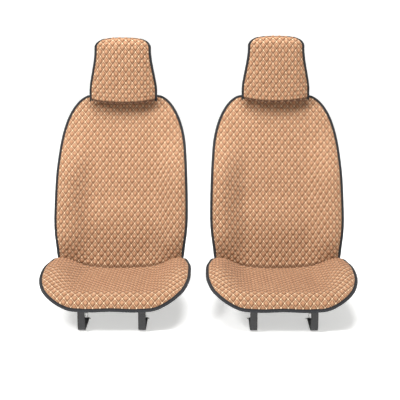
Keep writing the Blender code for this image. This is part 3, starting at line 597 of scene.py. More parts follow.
def bindingTape():
    # dark twill tape: ridges where u + v is whole in twill spacings, and one row of topstitching
    look = bindingLook
    material, tree, shader, places = newFinish("bindingTape", 0.75, 0.01, 0.35, (0.9, 0.93, 1.0), 0.0, 0.14)
    u, v = places["u"], places["v"]
    ridge = wave(tree, calc(tree, "ADD", u, v), look["twill"])
    picks = wave(tree, v, look["twill"] * 0.7)
    row = fade(tree, calc(tree, "ABSOLUTE", calc(tree, "SUBTRACT", u, look["stitchRow"])),
               look["rowHalfWidth"] * 0.6, look["rowHalfWidth"] * 1.3, 1.0, 0.0)
    stitch = calc(tree, "MULTIPLY", row, dashes(tree, v, 1 / look["stitchLength"], 0.14))
    grain = noise(tree, places["object"], 620, 2.0, 0.6)
    worn = noise(tree, places["object"], 60, 3.0, 0.6)
    colour = mixColour(tree, fade(tree, grain, 0.42, 0.66, 0.0, 0.55), look["tape"], look["high"])
    # painted highlight: the twill ridges lighter where they stand up
    colour = mixColour(tree, fade(tree, ridge, 0.2, 1.0, 0.0, 0.22), colour, look["high"])
    colour = mixColour(tree, fade(tree, worn, 0.50, 0.72, 0.0, 0.25), colour, look["high"])
    colour = mixColour(tree, calc(tree, "MULTIPLY", stitch, 0.8), colour, look["thread"])
    # painted highlight: paler over the crown of the fold, towards the tape's outer edge
    colour = mixColour(tree, fade(tree, u, *look["crownHighlightFrom"], 0.0, 0.75), colour, look["crownHighlight"])
    colour = mixColour(tree, fade(tree, u, *look["lip"], 0.85, 0.0), colour, look["shade"])
    tree.links.new(colour, shader.inputs["Base Color"])
    relief = bump(tree, calc(tree, "ADD", ridge, calc(tree, "MULTIPLY", picks, 0.4)), 0.00009)
    relief = bump(tree, calc(tree, "MULTIPLY", row, -1.0), 0.00030, relief)
    tree.links.new(bump(tree, stitch, 0.00040, relief), shader.inputs["Normal"])
    return material


knitLook = {"yarn": (0.018, 0.018, 0.020), "high": (0.060, 0.060, 0.065), "wale": 0.0014, "course": 0.0011}


def stretchKnit():
    # ribbed knit: rounded wales across u, each crossed by v-shaped loops that lean with the wale
    look = knitLook
    material, tree, shader, places = newFinish("stretchKnit", 0.80, 0.22, 0.4, (0.9, 0.92, 1.0), 0.0, 0.3)
    u, v = places["u"], places["v"]
    wale = calc(tree, "ABSOLUTE", calc(tree, "SINE", calc(tree, "MULTIPLY", u, math.pi / look["wale"])))
    lean = calc(tree, "MULTIPLY", nearestLine(tree, calc(tree, "DIVIDE", u, look["wale"])), look["course"] * 1.5)
    loops = wave(tree, calc(tree, "ADD", v, lean), look["course"])
    height = calc(tree, "ADD", wale, calc(tree, "MULTIPLY", loops, 0.35))
    fuzz = noise(tree, places["object"], 800, 2.0, 0.6)
    fold = noise(tree, places["object"], 22, 2.0, 0.5)
    # painted highlight: the raised wales and loops lighter, as their tops catch the light
    colour = mixColour(tree, fade(tree, height, 0.45, 1.25, 0.0, 0.65), look["yarn"], look["high"])
    colour = mixColour(tree, fade(tree, fuzz, 0.48, 0.70, 0.0, 0.4), colour, look["high"])
    colour = mixColour(tree, fade(tree, fold, 0.50, 0.75, 0.0, 0.25), colour, look["high"])
    tree.links.new(colour, shader.inputs["Base Color"])
    tree.links.new(bump(tree, calc(tree, "ADD", height, fuzz), 0.00016), shader.inputs["Normal"])
    return material


webbingLook = {"yarn": (0.016, 0.016, 0.017), "high": (0.070, 0.070, 0.073), "rib": 0.0021, "pick": 0.0012}


def elasticWebbing():
    # black elastic: raised ribs across u, picks along v shifted by half from one rib to the next
    look = webbingLook
    material, tree, shader, places = newFinish("elasticWebbing", 0.62, 0.18, 0.35, (1, 1, 1), 0.0, 0.4)
    u, v = places["u"], places["v"]
    column = calc(tree, "DIVIDE", u, look["rib"])
    rib = calc(tree, "ABSOLUTE", calc(tree, "SINE", calc(tree, "MULTIPLY", column, math.pi)))
    shift = calc(tree, "MULTIPLY", calc(tree, "FLOOR", column), math.pi)
    pick = calc(tree, "SINE", calc(tree, "ADD", calc(tree, "MULTIPLY", v, 2 * math.pi / look["pick"]), shift))
    height = calc(tree, "ADD", rib, calc(tree, "MULTIPLY", pick, 0.30))
    grain = noise(tree, places["object"], 700, 2.0, 0.6)
    # painted highlight: the raised ribs lighter, as their tops catch the light
    colour = mixColour(tree, fade(tree, height, 0.55, 1.25, 0.0, 0.60), look["yarn"], look["high"])
    colour = mixColour(tree, fade(tree, grain, 0.50, 0.70, 0.0, 0.30), colour, look["high"])
    tree.links.new(colour, shader.inputs["Base Color"])
    tree.links.new(bump(tree, height, 0.00022), shader.inputs["Normal"])
    return material


def mouldedPlastic():
    # black nylon: a fine spark texture, faint flow marks, and scuffs that are a little lighter and rougher
    material, tree, shader, places = newFinish("mouldedPlastic", 0.42)
    spark = noise(tree, places["object"], 1500, 3.0, 0.65)
    flow = noise(tree, places["object"], 60, 3.0, 0.5, (0.4, 1, 1))
    scuff = noise(tree, places["object"], 240, 4.0, 0.7, (3, 0.6, 1))
    worn = fade(tree, scuff, 0.60, 0.72)
    colour = mixColour(tree, fade(tree, flow, 0.35, 0.70), (0.014, 0.014, 0.015), (0.022, 0.022, 0.023))
    colour = mixColour(tree, calc(tree, "MULTIPLY", worn, 0.35), colour, (0.070, 0.070, 0.072))
    tree.links.new(colour, shader.inputs["Base Color"])
    tree.links.new(calc(tree, "ADD", fade(tree, flow, 0.3, 0.7, 0.36, 0.48), calc(tree, "MULTIPLY", worn, 0.14)),
                   shader.inputs["Roughness"])
    tree.links.new(bump(tree, spark, 0.00012), shader.inputs["Normal"])
    return material


def zincWire():
    # plated wire: drawn along its length, so fine lines round u, with duller spots in the plating
    material, tree, shader, places = newFinish("zincWire", 0.30, metallic=1.0)
    lines = noise(tree, places["uv"], 2200, 2.0, 0.6, (1, 0.04, 1))
    spots = noise(tree, places["object"], 330, 3.0, 0.6)
    dull = fade(tree, spots, 0.52, 0.72)
    colour = mixColour(tree, calc(tree, "MULTIPLY", dull, 0.6), (0.70, 0.70, 0.68), (0.42, 0.41, 0.39))
    tree.links.new(colour, shader.inputs["Base Color"])
    tree.links.new(calc(tree, "ADD", fade(tree, lines, 0.3, 0.7, 0.20, 0.34), calc(tree, "MULTIPLY", dull, 0.22)),
                   shader.inputs["Roughness"])
    tree.links.new(bump(tree, lines, 0.00004), shader.inputs["Normal"])
    return material


finishes = {
    # the hood's copy of the quilt cloth carries stronger painted shade at its foot fold
    "quilt": quiltCloth("quiltCloth", 0.35), "hoodQuilt": quiltCloth("hoodQuiltCloth", 0.90),
    "lining": gripLining(), "piping": bindingTape(), "knit": stretchKnit(),
    "webbing": elasticWebbing(), "plastic": mouldedPlastic(), "wire": zincWire(),
}
print("finishes made:", ", ".join(finishes))


def settle(piece, nodes, body=None):
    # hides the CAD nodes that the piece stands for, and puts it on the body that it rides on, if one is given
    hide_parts(*nodes)
    if body:
        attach(piece, body)
    return piece


def quiltPuff(u, v):
    # loft times (1 - f to the softness) in both lattice directions, f being 1 on a stitch line
    # and 0 half way between two
    first = u / quilting["width"] + v / quilting["height"]
    second = u / quilting["width"] - v / quilting["height"]
    f = np.abs(2 * (first - np.floor(first)) - 1)
    g = np.abs(2 * (second - np.floor(second)) - 1)
    return quilting["loft"] * (1 - f ** quilting["softness"]) * (1 - g ** quilting["softness"])


def slackness(points):
    # slow waves of well under a millimetre, as cloth has where it isn't pulled tight
    x, y, z = (points[..., k] for k in range(3))
    return 0.0005 * np.sin(31 * x + 17 * z) + 0.0004 * np.sin(47 * z - 23 * x + 11 * y) + 0.0003 * np.sin(83 * x + 5)


panelDetail = {
    "back": {"spacing": 0.0030, "columns": 171},
    "seat": {"spacing": 0.0030, "columns": 181},
    "hood": {"spacing": 0.0024, "columns": 107},
}


def quiltedPanel(name, section, detail, finish, offset):
    # a slab whose face is the panel's surface, sunk by frontSink less the puff, level at the rim
    # and tucked down at the fold
    s = panelGrid(section, detail["spacing"], detail["columns"], quilting["inset"])
    free = smoothStep(s["rim"], *quilting["rimFade"])
    if section["crease"]:
        free = free * smoothStep(s["fold"], *creaseLine["flatNear"])
    sink = quilting["frontSink"] - quiltPuff(s["u"], s["v"]) * free
    sink = sink + (quilting["rimSink"] - quilting["frontSink"]) * (1 - free)
    sink = sink + slackness(s["points"] + np.asarray(offset)) * free
    if section["crease"]:
        sink = sink + creaseLine["tuck"] * (1 - smoothStep(s["fold"], 0, creaseLine["tuckReach"]))
    front = s["points"] - s["normals"] * sink[..., None]
    behind = s["points"] - s["normals"] * quilting["backSink"]
    uv = np.stack([s["u"], s["v"]], -1)
    return addPiece(name, closedSlab(name, front, behind, uv), finish, offset)


liningDetail = {"spacing": 0.0075, "columns": 61, "front": 0.0078, "thickness": 0.0013, "inset": 0.0062}


def liningPanel(name, section, offset):
    # a thin sheet right behind the quilt; also its cut size and flat area, summed over its cells
    d = liningDetail
    s = panelGrid(section, d["spacing"], d["columns"], d["inset"])
    near = d["front"] + slackness(s["points"]) * 0.4 + 0.0003
    front = s["points"] - s["normals"] * near[..., None]
    behind = front - s["normals"] * d["thickness"]
    middle = (front + behind) / 2
    area = sheetArea(middle)
    wide = np.linalg.norm(np.diff(middle, axis=1), axis=-1).sum(1).max()
    long = np.linalg.norm(np.diff(middle, axis=0), axis=-1).sum(0).max()
    uv = np.stack([s["u"], s["v"]], -1)
    piece = addPiece(name, closedSlab(name, front, behind, uv), finishes["lining"], offset)
    return piece, (float(wide), float(long)), float(area)


bindingTapeShape = {
    "middle": 0.0051,  # depth of the tape's middle behind the face
    "spacing": 0.0026,
    # across the fold, from the lip on the face to the outer edge: out from the outline, and up
    # from the middle of the layers
    "outer": [(-11.6, 2.5), (-11.8, 3.3), (-11.4, 4.0), (-10.5, 4.35), (-9.4, 4.15), (-8.3, 4.5), (-6.6, 4.85),
              (-4.6, 4.8), (-2.9, 4.35), (-1.5, 3.45), (-0.45, 2.0), (0.0, 0.0)],
    "inner": [(-1.4, 0.0), (-1.9, 1.5), (-3.4, 2.5), (-7.5, 2.55)],
    "ripple": 0.00022, "rippleLengths": (0.013, 0.0313), "halfHeight": 0.0045,
}


def tapeProfile():
    # the outer line on the face, the same line mirrored on the lining, then the inside of the fold back again
    outer = np.array(bindingTapeShape["outer"]) / 1000
    inner = np.array(bindingTapeShape["inner"]) / 1000
    mirror = np.array([1, -1])
    return np.concatenate([outer, outer[-2::-1] * mirror, inner[:0:-1] * mirror, inner])


def outlineFrame(section, x, along, side):
    # the outline's points, the face's normal there, and the direction outwards: across the face,
    # square to the path. At a fold end both turn to the fold's own directions
    p = section["shape"]
    step = 0.0015
    inside = np.clip(along, 0.020, p["length"] - 0.002)
    across = section["point"](x + step, inside) - section["point"](x - step, inside)
    ahead = section["point"](x, inside + step) - section["point"](x, inside - step)
    normal = unit(np.cross(across, ahead)) * section["facing"]
    points = section["point"](x, along)
    if section["crease"]:
        height = smoothStep(along, 0.012, 0.075)[:, None]
        normal = unit(foldNormal * (1 - height) + normal * height)
    path = unit(np.gradient(points, axis=0))
    normal = unit(normal - path * np.sum(path * normal, axis=-1, keepdims=True))
    outward = np.cross(path, normal) * side
    if section["crease"]:
        sideways = np.stack([np.sign(x), 0 * x, 0 * x], -1)
        outward = sideways * (1 - height) + outward * height
        outward = unit(outward - normal * np.sum(outward * normal, axis=-1, keepdims=True))
    return points, normal, outward


def bindingPiece(name, section, x, along, side, offset):
    # the tape's profile along the outline, with a slight ripple where the stitches draw it in
    points, normal, outward = outlineFrame(section, x, along, side)
    centre = points - normal * bindingTapeShape["middle"]
    run = travelled(points)
    profile = np.repeat(tapeProfile()[None], len(points), axis=0)
    fast, slow = (run * 2 * math.pi / length for length in bindingTapeShape["rippleLengths"])
    ripple = bindingTapeShape["ripple"] * (np.sin(fast) + 0.7 * np.sin(slow + 1))
    profile[..., 1] *= 1 + (ripple / bindingTapeShape["halfHeight"])[:, None]
    profile[..., 0] += ripple[:, None] * 0.5
    mesh = sweptProfile(name, centre, outward, normal, profile)
    return addPiece(name, mesh, finishes["piping"], offset)


def sideRun(section, sign, extra=()):
    # up one side of the outline from the start to the end, and on along the end's straight edge
    along = rowPlaces(section, section["shape"]["length"], bindingTapeShape["spacing"])
    x = sign * section["half"](along)
    extra = np.asarray(extra, float)
    return np.concatenate([x, extra]), np.concatenate([along, np.full(len(extra), section["shape"]["length"])])


def wholeRun(section):
    # up the left side, across the end, and down the right side
    x, along = sideRun(section, -1)
    end = section["shape"]["endHalfWidth"]
    straight = np.linspace(-end, end, int(2 * end / bindingTapeShape["spacing"]) + 1)[1:-1]
    across = np.full(len(straight), section["shape"]["length"])
    return np.concatenate([x, straight, -x[::-1]]), np.concatenate([along, across, along[::-1]])


webShape = {"rows": 25, "columns": 61, "crown": 0.004, "thickness": 0.0034, "inset": 0.010, "overlap": 0.004}


def neckWeb(name, lift, offset):
    # a sheet on a quadratic curve from the back section's top edge, over a low crown, to the hood's foot
    w = webShape
    top = backPoint(0.0, backPanel["length"] - quilting["inset"])
    start = top - upBack * w["overlap"] - outOfBack * 0.0048
    x = np.linspace(-1, 1, w["columns"]) * (backPanel["endHalfWidth"] - w["inset"])
    start = np.stack([x, 0 * x + start[1], 0 * x + start[2]], -1)
    end = hoodPoint(x, 0.0) + np.array([0, 0.0050, 0]) + lift
    middle = (start + end) / 2 + np.array([0, 0, w["crown"]])
    t = np.linspace(0, 1, w["rows"])[:, None, None]
    points = (1 - t) ** 2 * start + 2 * t * (1 - t) * middle + t**2 * end
    normals = unit(np.cross(np.gradient(points, axis=1), np.gradient(points, axis=0)))
    u = np.repeat(x[None, :], w["rows"], axis=0)
    v = alongCloth(points)
    puff = quiltPuff(u, v) * 0.5
    front = points + normals * (w["thickness"] / 2 + puff * 0.6)[..., None]
    behind = points - normals * w["thickness"] / 2
    piece = addPiece(name, closedSlab(name, front, behind, np.stack([u, v], -1)), finishes["quilt"], offset)
    return piece, (float(np.ptp(x)), float(v.max()))


pocketShape = {
    "thickness": 0.0013, "depth": 0.076, "hemZ": 0.632, "fullness": 2.4, "clear": 0.0100, "end": 0.985,
    "rows": 90, "columns": 121, "gather": 0.0011, "gathers": 26,
}


def pocketPoint(q, share):
    # behind the hood: out to depth by a superellipse across and a quarter round towards the top
    p, h = pocketShape, hoodPanel
    hem = h["underArc"] + (p["hemZ"] - h["bottomZ"]) / math.cos(h["lean"])
    along = hem + (h["length"] - hem) * share
    half = hoodHalfWidth(along) - 0.0062
    edge = hoodPoint(half, along)
    heading = hoodCentre(along)[2]
    edgeY = edge[..., 1] + p["clear"] * np.abs(np.cos(heading))
    edgeZ = edge[..., 2] - p["clear"] * np.clip(np.sin(heading), 0, None)
    full = np.sqrt(np.clip(1 - np.abs(q) ** p["fullness"], 0, None))
    depth = p["depth"] * np.sqrt(np.clip(1 - share**3, 0, None)) * full
    crown = (hoodPoint(0 * half, along)[..., 2] - edge[..., 2]) * (1 - q * q)
    return np.stack([half * q, edgeY + depth, edgeZ + crown], -1)


def pocketGrid():
    # even turns across, so that points crowd at the seams, rows crowding towards the top, and folds
    # that fade upwards from the gathered hem
    p = pocketShape
    q = np.sin(np.linspace(-np.pi / 2, np.pi / 2, p["columns"]))[None, :]
    share = (p["end"] * (1 - (1 - np.linspace(0, 1, p["rows"])) ** 1.6))[:, None]
    q, share = np.broadcast_arrays(q, share)
    points = pocketPoint(q, share)
    normals = unit(np.cross(np.gradient(points, axis=1), np.gradient(points, axis=0)))
    away = np.arcsin(q)
    folds = np.sin(away * p["gathers"]) + 0.5 * np.sin(away * p["gathers"] * 1.7 + 1)
    fadeUp = (1 - smoothStep(share, 0, 0.16)) * (1 - np.abs(q) ** 6)
    sag = 0.0012 * np.sin(away * 5 + share * 9) * (1 - np.abs(q) ** 4) * smoothStep(share, 0, 0.2) * (1 - share)
    return points + normals * (p["gather"] * folds * fadeUp + sag)[..., None], normals


def headrestPocket(name, offset):
    # the pocket's grid given its thickness inwards; faces run the other way round, as it faces backwards
    p = pocketShape
    points, normals = pocketGrid()
    points, normals = points[:, ::-1], -normals[:, ::-1]
    u, v = acrossCloth(points), alongCloth(points)
    behind = points - normals * p["thickness"]
    area = sheetArea((points + behind) / 2)
    piece = addPiece(name, closedSlab(name, points, behind, np.stack([u, v], -1)), finishes["knit"], offset)
    return piece, (float(np.ptp(u, axis=1).max()), float(v.max())), float(area)


elasticHem = {"height": 0.0105, "thickness": 0.0030, "ripple": 0.0008, "rippleLength": 0.0062, "columns": 260}


def gatheredHem(name, offset):
    # a rounded band along the pocket's lower edge, its thickness swelling and shrinking with the gathers
    e = elasticHem
    points, _ = pocketGrid()
    q = np.linspace(-1, 1, e["columns"])
    row = points[0]
    run = travelled(row)
    places = np.linspace(0, run[-1], e["columns"])
    line = np.stack([np.interp(places, run, row[:, k]) for k in range(3)], -1)
    path = unit(np.gradient(line, axis=0))
    down = np.repeat(np.array([[0.0, 0, -1.0]]), len(line), axis=0)
    outward = unit(np.cross(path, down))
    turns = np.linspace(0, 2 * np.pi, 20, endpoint=False)
    ring = np.stack([np.sign(np.cos(turns)) * np.abs(np.cos(turns)) ** 0.6 * e["thickness"] / 2,
                     np.sign(np.sin(turns)) * np.abs(np.sin(turns)) ** 0.6 * e["height"] / 2], -1)
    profile = np.repeat(ring[None], len(line), axis=0)
    swell = e["ripple"] * np.sin(run[-1] * q / 2 * 2 * math.pi / e["rippleLength"])
    profile[..., 0] *= 1 + (swell / (e["thickness"] / 2))[:, None] * 0.5
    profile[..., 0] += (swell * 0.4)[:, None]
    centre = line + down * e["height"] * 0.35
    return addPiece(name, sweptProfile(name, centre, outward, down, profile), finishes["webbing"], offset)


frontStrap = {
    "width": 0.025, "thickness": 0.0015, "at": 0.102, "sewn": 0.016, "depth": 0.0142, "hemInset": 0.0123,
    "bottomZ": -0.108, "bend": 0.022, "endY": -0.290, "loop": 0.0038, "tail": 0.024, "ribs": 12, "ribHeight": 0.00016,
    "points": 330,
}
hookShape = {"wire": 0.0018, "length": 0.034, "mouth": 0.007, "throat": 0.0045, "points": 260}
backStrap = {
    "width": 0.035, "thickness": 0.0015, "at": 0.300, "depth": 0.112, "bend": 0.040, "ribs": 17, "ribHeight": 0.00016,
    "socketEnd": 0.0352, "plugEnd": 0.0184, "points": 200,
}


def webbingProfile(strap):
    # a flat oval whose two faces carry the webbing's lengthwise ribs
    across = np.linspace(-1, 1, 6 * strap["ribs"] + 1)
    rib = np.abs(np.sin(across * strap["ribs"] * np.pi / 2)) * strap["ribHeight"]
    height = (strap["thickness"] / 2) * (1 - np.abs(across) ** 14) ** 0.5 * 0.85 + rib * (1 - across**20)
    face = np.stack([across * strap["width"] / 2, height], -1)
    other = np.stack([across[::-1] * strap["width"] / 2, -height[::-1]], -1)
    return np.concatenate([face, other[1:-1]])


def webbingStrip(name, strap, line, widthDirection, offset):
    # the profile along a path that lies in one plane, the width square to that plane
    path = unit(np.gradient(line, axis=0))
    wide = np.repeat(np.asarray(widthDirection, float)[None], len(line), axis=0)
    normal = unit(np.cross(wide, path))
    return addPiece(name, sweptProfile(name, line, wide, normal, webbingProfile(strap)), finishes["webbing"], offset)


def frontStrapLine(x):
    # down behind the hem, down the cushion's face, round under it, back, round the hook's bar, and a sewn tail
    s = frontStrap
    hem = seatPanel["length"] - s["hemInset"]
    places = hem - np.array([s["sewn"], s["sewn"] / 2, 0.0])
    ahead = seatPoint(x, places + 0.002) - seatPoint(x, places - 0.002)
    inwards = unit(np.stack([0 * places, ahead[:, 2], -ahead[:, 1]], -1))
    top = seatPoint(x, places) - inwards * s["depth"]
    y = top[-1, 1] + 0.001
    down = np.array([[x, y, top[-1, 2] - 0.018], [x, y, s["bottomZ"] + s["bend"] + 0.012]])
    turn = np.radians(np.linspace(0, 90, 9))
    under = np.stack([0 * turn + x, y + s["bend"] * (1 - np.cos(turn)),
                      s["bottomZ"] + s["bend"] * (1 - np.sin(turn))], -1)
    share = np.array([[0.25], [0.5], [0.75]])
    back = under[-1] + share * (np.array([x, s["endY"], s["bottomZ"]]) - under[-1])
    turn = np.radians(np.linspace(0, 200, 13))
    pivotZ = s["bottomZ"] + s["loop"]
    loop = np.stack([0 * turn + x, s["endY"] + s["loop"] * np.sin(turn), pivotZ - s["loop"] * np.cos(turn)], -1)
    tail = np.array([[x, s["endY"] - 0.006, s["bottomZ"] + 0.0042], [x, s["endY"] - 0.012, s["bottomZ"] + 0.0021],
                     [x, s["endY"] - 0.012 - s["tail"], s["bottomZ"] + 0.0018]])
    return throughPoints(np.concatenate([top, down, under, back, loop, tail]), s["points"])


def hookLine(x):
    # half of the hook, from the middle of its bar to the tip of the curl, and the same mirrored
    h, s = hookShape, frontStrap
    bar = s["width"] / 2 + h["wire"] + 0.0024
    straight = h["length"] - h["mouth"]
    turn = np.radians(np.linspace(0, 180, 7))
    curl = np.stack([0 * turn + h["throat"], straight + h["mouth"] * np.sin(turn),
                     h["mouth"] * (1 - np.cos(turn))], -1)
    sides = np.array([[0, 0, 0], [bar * 0.5, 0, 0], [bar - 0.0022, 0, 0], [bar, 0.0022, 0], [bar, 0.008, 0],
                      [h["throat"] + 0.0015, 0.0155, 0], [h["throat"], 0.0185, 0]])
    tip = np.array([[h["throat"], straight - 0.009, 2 * h["mouth"] + 0.0016],
                    [h["throat"] * 0.5, straight - 0.0115, 2 * h["mouth"] + 0.0021]])
    half = np.concatenate([sides, curl, tip])
    other = half[:0:-1] * np.array([-1, 1, 1])
    line = throughPoints(np.concatenate([half, other]), h["points"], closed=True)
    return line + np.array([x, s["endY"], s["bottomZ"] + s["loop"]])


def wireTube(name, line, radius, material, offset):
    # a round section carried along a closed line. Each section's frame is the one before it turned by
    # the least that keeps it square to the line, and what is left over at the join is shared out
    path = unit(np.roll(line, -1, axis=0) - np.roll(line, 1, axis=0))
    frames = [unit(np.cross(path[0], np.array([0.1, 0.2, 1.0])))]
    for tangent in path[1:]:
        frames.append(unit(frames[-1] - tangent * np.dot(tangent, frames[-1])))
    first = np.array(frames)
    second = np.cross(path, first)
    closing = unit(first[-1] - path[0] * np.dot(path[0], first[-1]))
    twist = math.atan2(np.dot(closing, second[0]), np.dot(closing, first[0]))
    share = -twist * np.arange(len(line)) / len(line)
    turned = first * np.cos(share)[:, None] + second * np.sin(share)[:, None]
    turns = np.linspace(0, 2 * np.pi, 16, endpoint=False)
    ring = np.stack([np.cos(turns), np.sin(turns)], -1) * radius
    mesh = sweptProfile(name, line, turned, np.cross(path, turned), ring, closed=True)
    return addPiece(name, mesh, material, offset)


def backStrapLine(sign, endX):
    # from the edge of the back section, round the backrest's side, and across behind it to endX
    s = backStrap
    edge = float(backHalfWidth(np.array(s["at"]))) - 0.0123
    proud = float((backPoint(edge * 0.93, s["at"]) - upBack * s["at"]) @ outOfBack)
    start = -proud + 0.0130
    side = edge + 0.004
    turn = np.radians(np.linspace(0, 90, 7))
    corner = np.stack([side - s["bend"] * (1 - np.cos(turn)), s["depth"] - s["bend"] * (1 - np.sin(turn))], -1)
    ends = [(edge * 0.90, start + 0.0025), (edge * 0.955, start + 0.0060),
            (side - 0.001, start + 0.022), (side, start + 0.034)]
    across = corner[-1, 0] + np.array([0.25, 0.5, 0.75, 1.0]) * (endX - corner[-1, 0])
    flat = np.stack([across, 0 * across + s["depth"]], -1)
    plan = throughPoints(np.concatenate([np.array(ends), corner, flat]), s["points"])
    x = sign * plan[:, 0]
    return x[:, None] * np.array([1.0, 0, 0]) + upBack * s["at"] - plan[:, 1:2] * outOfBack


flapShape = {
    "halfWidth": 0.130, "start": 0.026, "length": 0.105, "fall": math.radians(22), "thickness": 0.0013,
    "barRadius": 0.006, "barEnd": 0.003, "barPoints": 60, "loop": 0.0079, "columns": 81, "rows": 40,
}


def flapGrid():
    # flat and falling backwards from the fold, its front edge following the fold, then round the bar
    f = flapShape
    direction = np.array([0, math.cos(f["fall"]), -math.sin(f["fall"])])
    below = np.array([0, -math.sin(f["fall"]), -math.cos(f["fall"])])
    x = np.linspace(-1, 1, f["columns"]) * f["halfWidth"]
    share = np.linspace(0, 1, f["rows"])[:, None, None]
    start = creasePoint(x) * np.array([0, 1, 1])
    sheet = start[None] * (1 - share) + direction * (f["start"] + f["length"] * share)
    barCentre = direction * (f["start"] + f["length"]) + below * f["loop"]
    turn = np.linspace(0, 2 * np.pi * 0.86, 30)[1:, None, None]
    loop = barCentre + direction * f["loop"] * np.sin(turn) - below * f["loop"] * np.cos(turn)
    points = np.concatenate([sheet, np.repeat(loop, f["columns"], axis=1)])
    points[..., 0] = x[None, :]
    return points, barCentre


def tuckFlap(name, offset):
    # the flap's grid, with slow ripples where it hangs free, given its thickness both ways
    f = flapShape
    points, _ = flapGrid()
    normals = unit(np.cross(np.gradient(points, axis=1), np.gradient(points, axis=0)))
    free = np.zeros(len(points))
    free[: f["rows"]] = np.sin(np.linspace(0, np.pi, f["rows"]))
    wave = 0.0011 * np.sin(points[..., 0] * 95) * free[:, None]
    points = points + normals * wave[..., None]
    front = points + normals * f["thickness"] / 2
    behind = points - normals * f["thickness"] / 2
    v = alongCloth(points)
    u = points[..., 0]
    piece = addPiece(name, closedSlab(name, front, behind, np.stack([u, v], -1)), finishes["knit"], offset)
    return piece, (2 * f["halfWidth"], float(v.max()))


def tuckBar(name, offset):
    # a rod along x whose radius falls off in a quarter round at both ends
    f = flapShape
    _, centre = flapGrid()
    half = f["halfWidth"] + 0.008
    turn = np.linspace(0, np.pi / 2, 9)
    shoulder = half - f["barEnd"] + f["barEnd"] * np.sin(turn)
    straight = np.linspace(-half + 2 * f["barEnd"], half - 2 * f["barEnd"], f["barPoints"])
    x = np.concatenate([-shoulder[::-1], straight, shoulder])
    rounded = f["barRadius"] - f["barEnd"] + f["barEnd"] * np.cos(turn)
    radius = np.concatenate([rounded[::-1], np.full(f["barPoints"], f["barRadius"]), rounded])
    turns = np.linspace(0, 2 * np.pi, 32, endpoint=False)
    ring = np.stack([np.cos(turns), np.sin(turns)], -1)
    profile = ring[None] * radius[:, None, None]
    line = np.stack([x, 0 * x + centre[1], 0 * x + centre[2]], -1)
    outward = np.repeat(np.array([[0.0, 1, 0]]), len(x), axis=0)
    normal = np.repeat(np.array([[0.0, 0, 1]]), len(x), axis=0)
    return addPiece(name, sweptProfile(name, line, outward, normal, profile), finishes["plastic"], offset)


def makeCover(side, sign):
    # every piece of one cover, on its body, standing for its CAD nodes
    centre = np.array([sign * setLayout["spacing"] / 2, 0.0, 0.0])
    lift = postDirection * setLayout["headrestLift"][side]
    hoodOffset = centre + lift
    seats, back, hoodBody, plug = "seats", side + "_back", side + "_hood", side + "_plug"

    def node(name):
        return side + "_" + name

    def piece(name):
        return side + name

    def bendAtFold(obj):
        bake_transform(obj)
        return obj

    for key, label in (("seat", "Seat"), ("back", "Back"), ("hood", "Hood")):
        section = sections[key]
        place = hoodOffset if key == "hood" else centre
        finish = finishes["hoodQuilt" if key == "hood" else "quilt"]
        quilt = quiltedPanel(piece(label + "Quilt"), section, panelDetail[key], finish, place)
        settle(quilt, [node(key + "_quilt")], hoodBody if key == "hood" else None)
        lining, cut, area = liningPanel(piece(label + "Lining"), section, place)
        settle(lining, [node(key + "_lining")], hoodBody if key == "hood" else None)
        if key != "hood":
            bendAtFold(quilt)
            bendAtFold(lining)

    x, along = wholeRun(sections["seat"])
    seatEdge = bindingPiece(piece("SeatBinding"), sections["seat"], x, along, 1, centre)
    bendAtFold(settle(seatEdge, [node("seat_piping")]))
    for label, way in (("Left", -1), ("Right", 1)):
        inner = way * np.linspace(backPanel["endHalfWidth"], backPanel["endHalfWidth"] - 0.012, 6)[1:]
        x, along = sideRun(sections["back"], way, inner)
        edge = bindingPiece(piece("BackBinding" + label), sections["back"], x, along, way, centre)
        bendAtFold(settle(edge, [node("back_piping_" + label.lower())]))
    x, along = wholeRun(sections["hood"])
    hoodEdge = bindingPiece(piece("HoodBinding"), sections["hood"], x, along, -1, hoodOffset)
    settle(hoodEdge, [node("hood_piping")], hoodBody)

    web, cut = neckWeb(piece("NeckWeb"), lift, centre)
    settle(web, [node("neck_web")])
    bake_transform(web)

    hem = gatheredHem(piece("PocketHem"), hoodOffset)
    settle(hem, [node("hood_elastic")], hoodBody)
    pocket, cut, area = headrestPocket(piece("HeadrestPocket"), hoodOffset)
    settle(pocket, [node("hood_pocket")], hoodBody)

    flap, cut = tuckFlap(piece("TuckFlap"), centre)
    settle(flap, [node("tuck_flap")], seats)
    bar = tuckBar(piece("TuckBar"), centre)
    settle(bar, [node("tuck_bar")], seats)

    for label, way in (("Inboard", -sign), ("Outboard", sign)):
        x = way * frontStrap["at"]
        name = label.lower()
        strap = webbingStrip(piece("FrontStrap" + label), frontStrap, frontStrapLine(x), (1, 0, 0), centre)
        settle(strap, [node("front_strap_" + name)], seats)
        hook = wireTube(piece("Hook" + label), hookLine(x), hookShape["wire"], finishes["wire"], centre)
        settle(hook, [node("hook_" + name)], side + "_hook_" + name + "_body")

    line = backStrapLine(-sign, backStrap["socketEnd"])
    strap = webbingStrip(piece("BackStrapSocketSide"), backStrap, line, upBack, centre)
    settle(strap, [node("back_strap_socket_side")], back)
    line = backStrapLine(sign, backStrap["plugEnd"])
    strap = webbingStrip(piece("BackStrapPlugSide"), backStrap, line, upBack, centre)
    settle(strap, [node("back_strap_plug_side")])
    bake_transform(strap)

    for name in ("buckle_socket", "buckle_plug", "strap_slider"):
        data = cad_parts[node(name)].data
        data.materials.clear()
        data.materials.append(finishes["plastic"])
    print(side, "cover made")


for side, sign in setLayout["sides"].items():
    makeCover(side, sign)


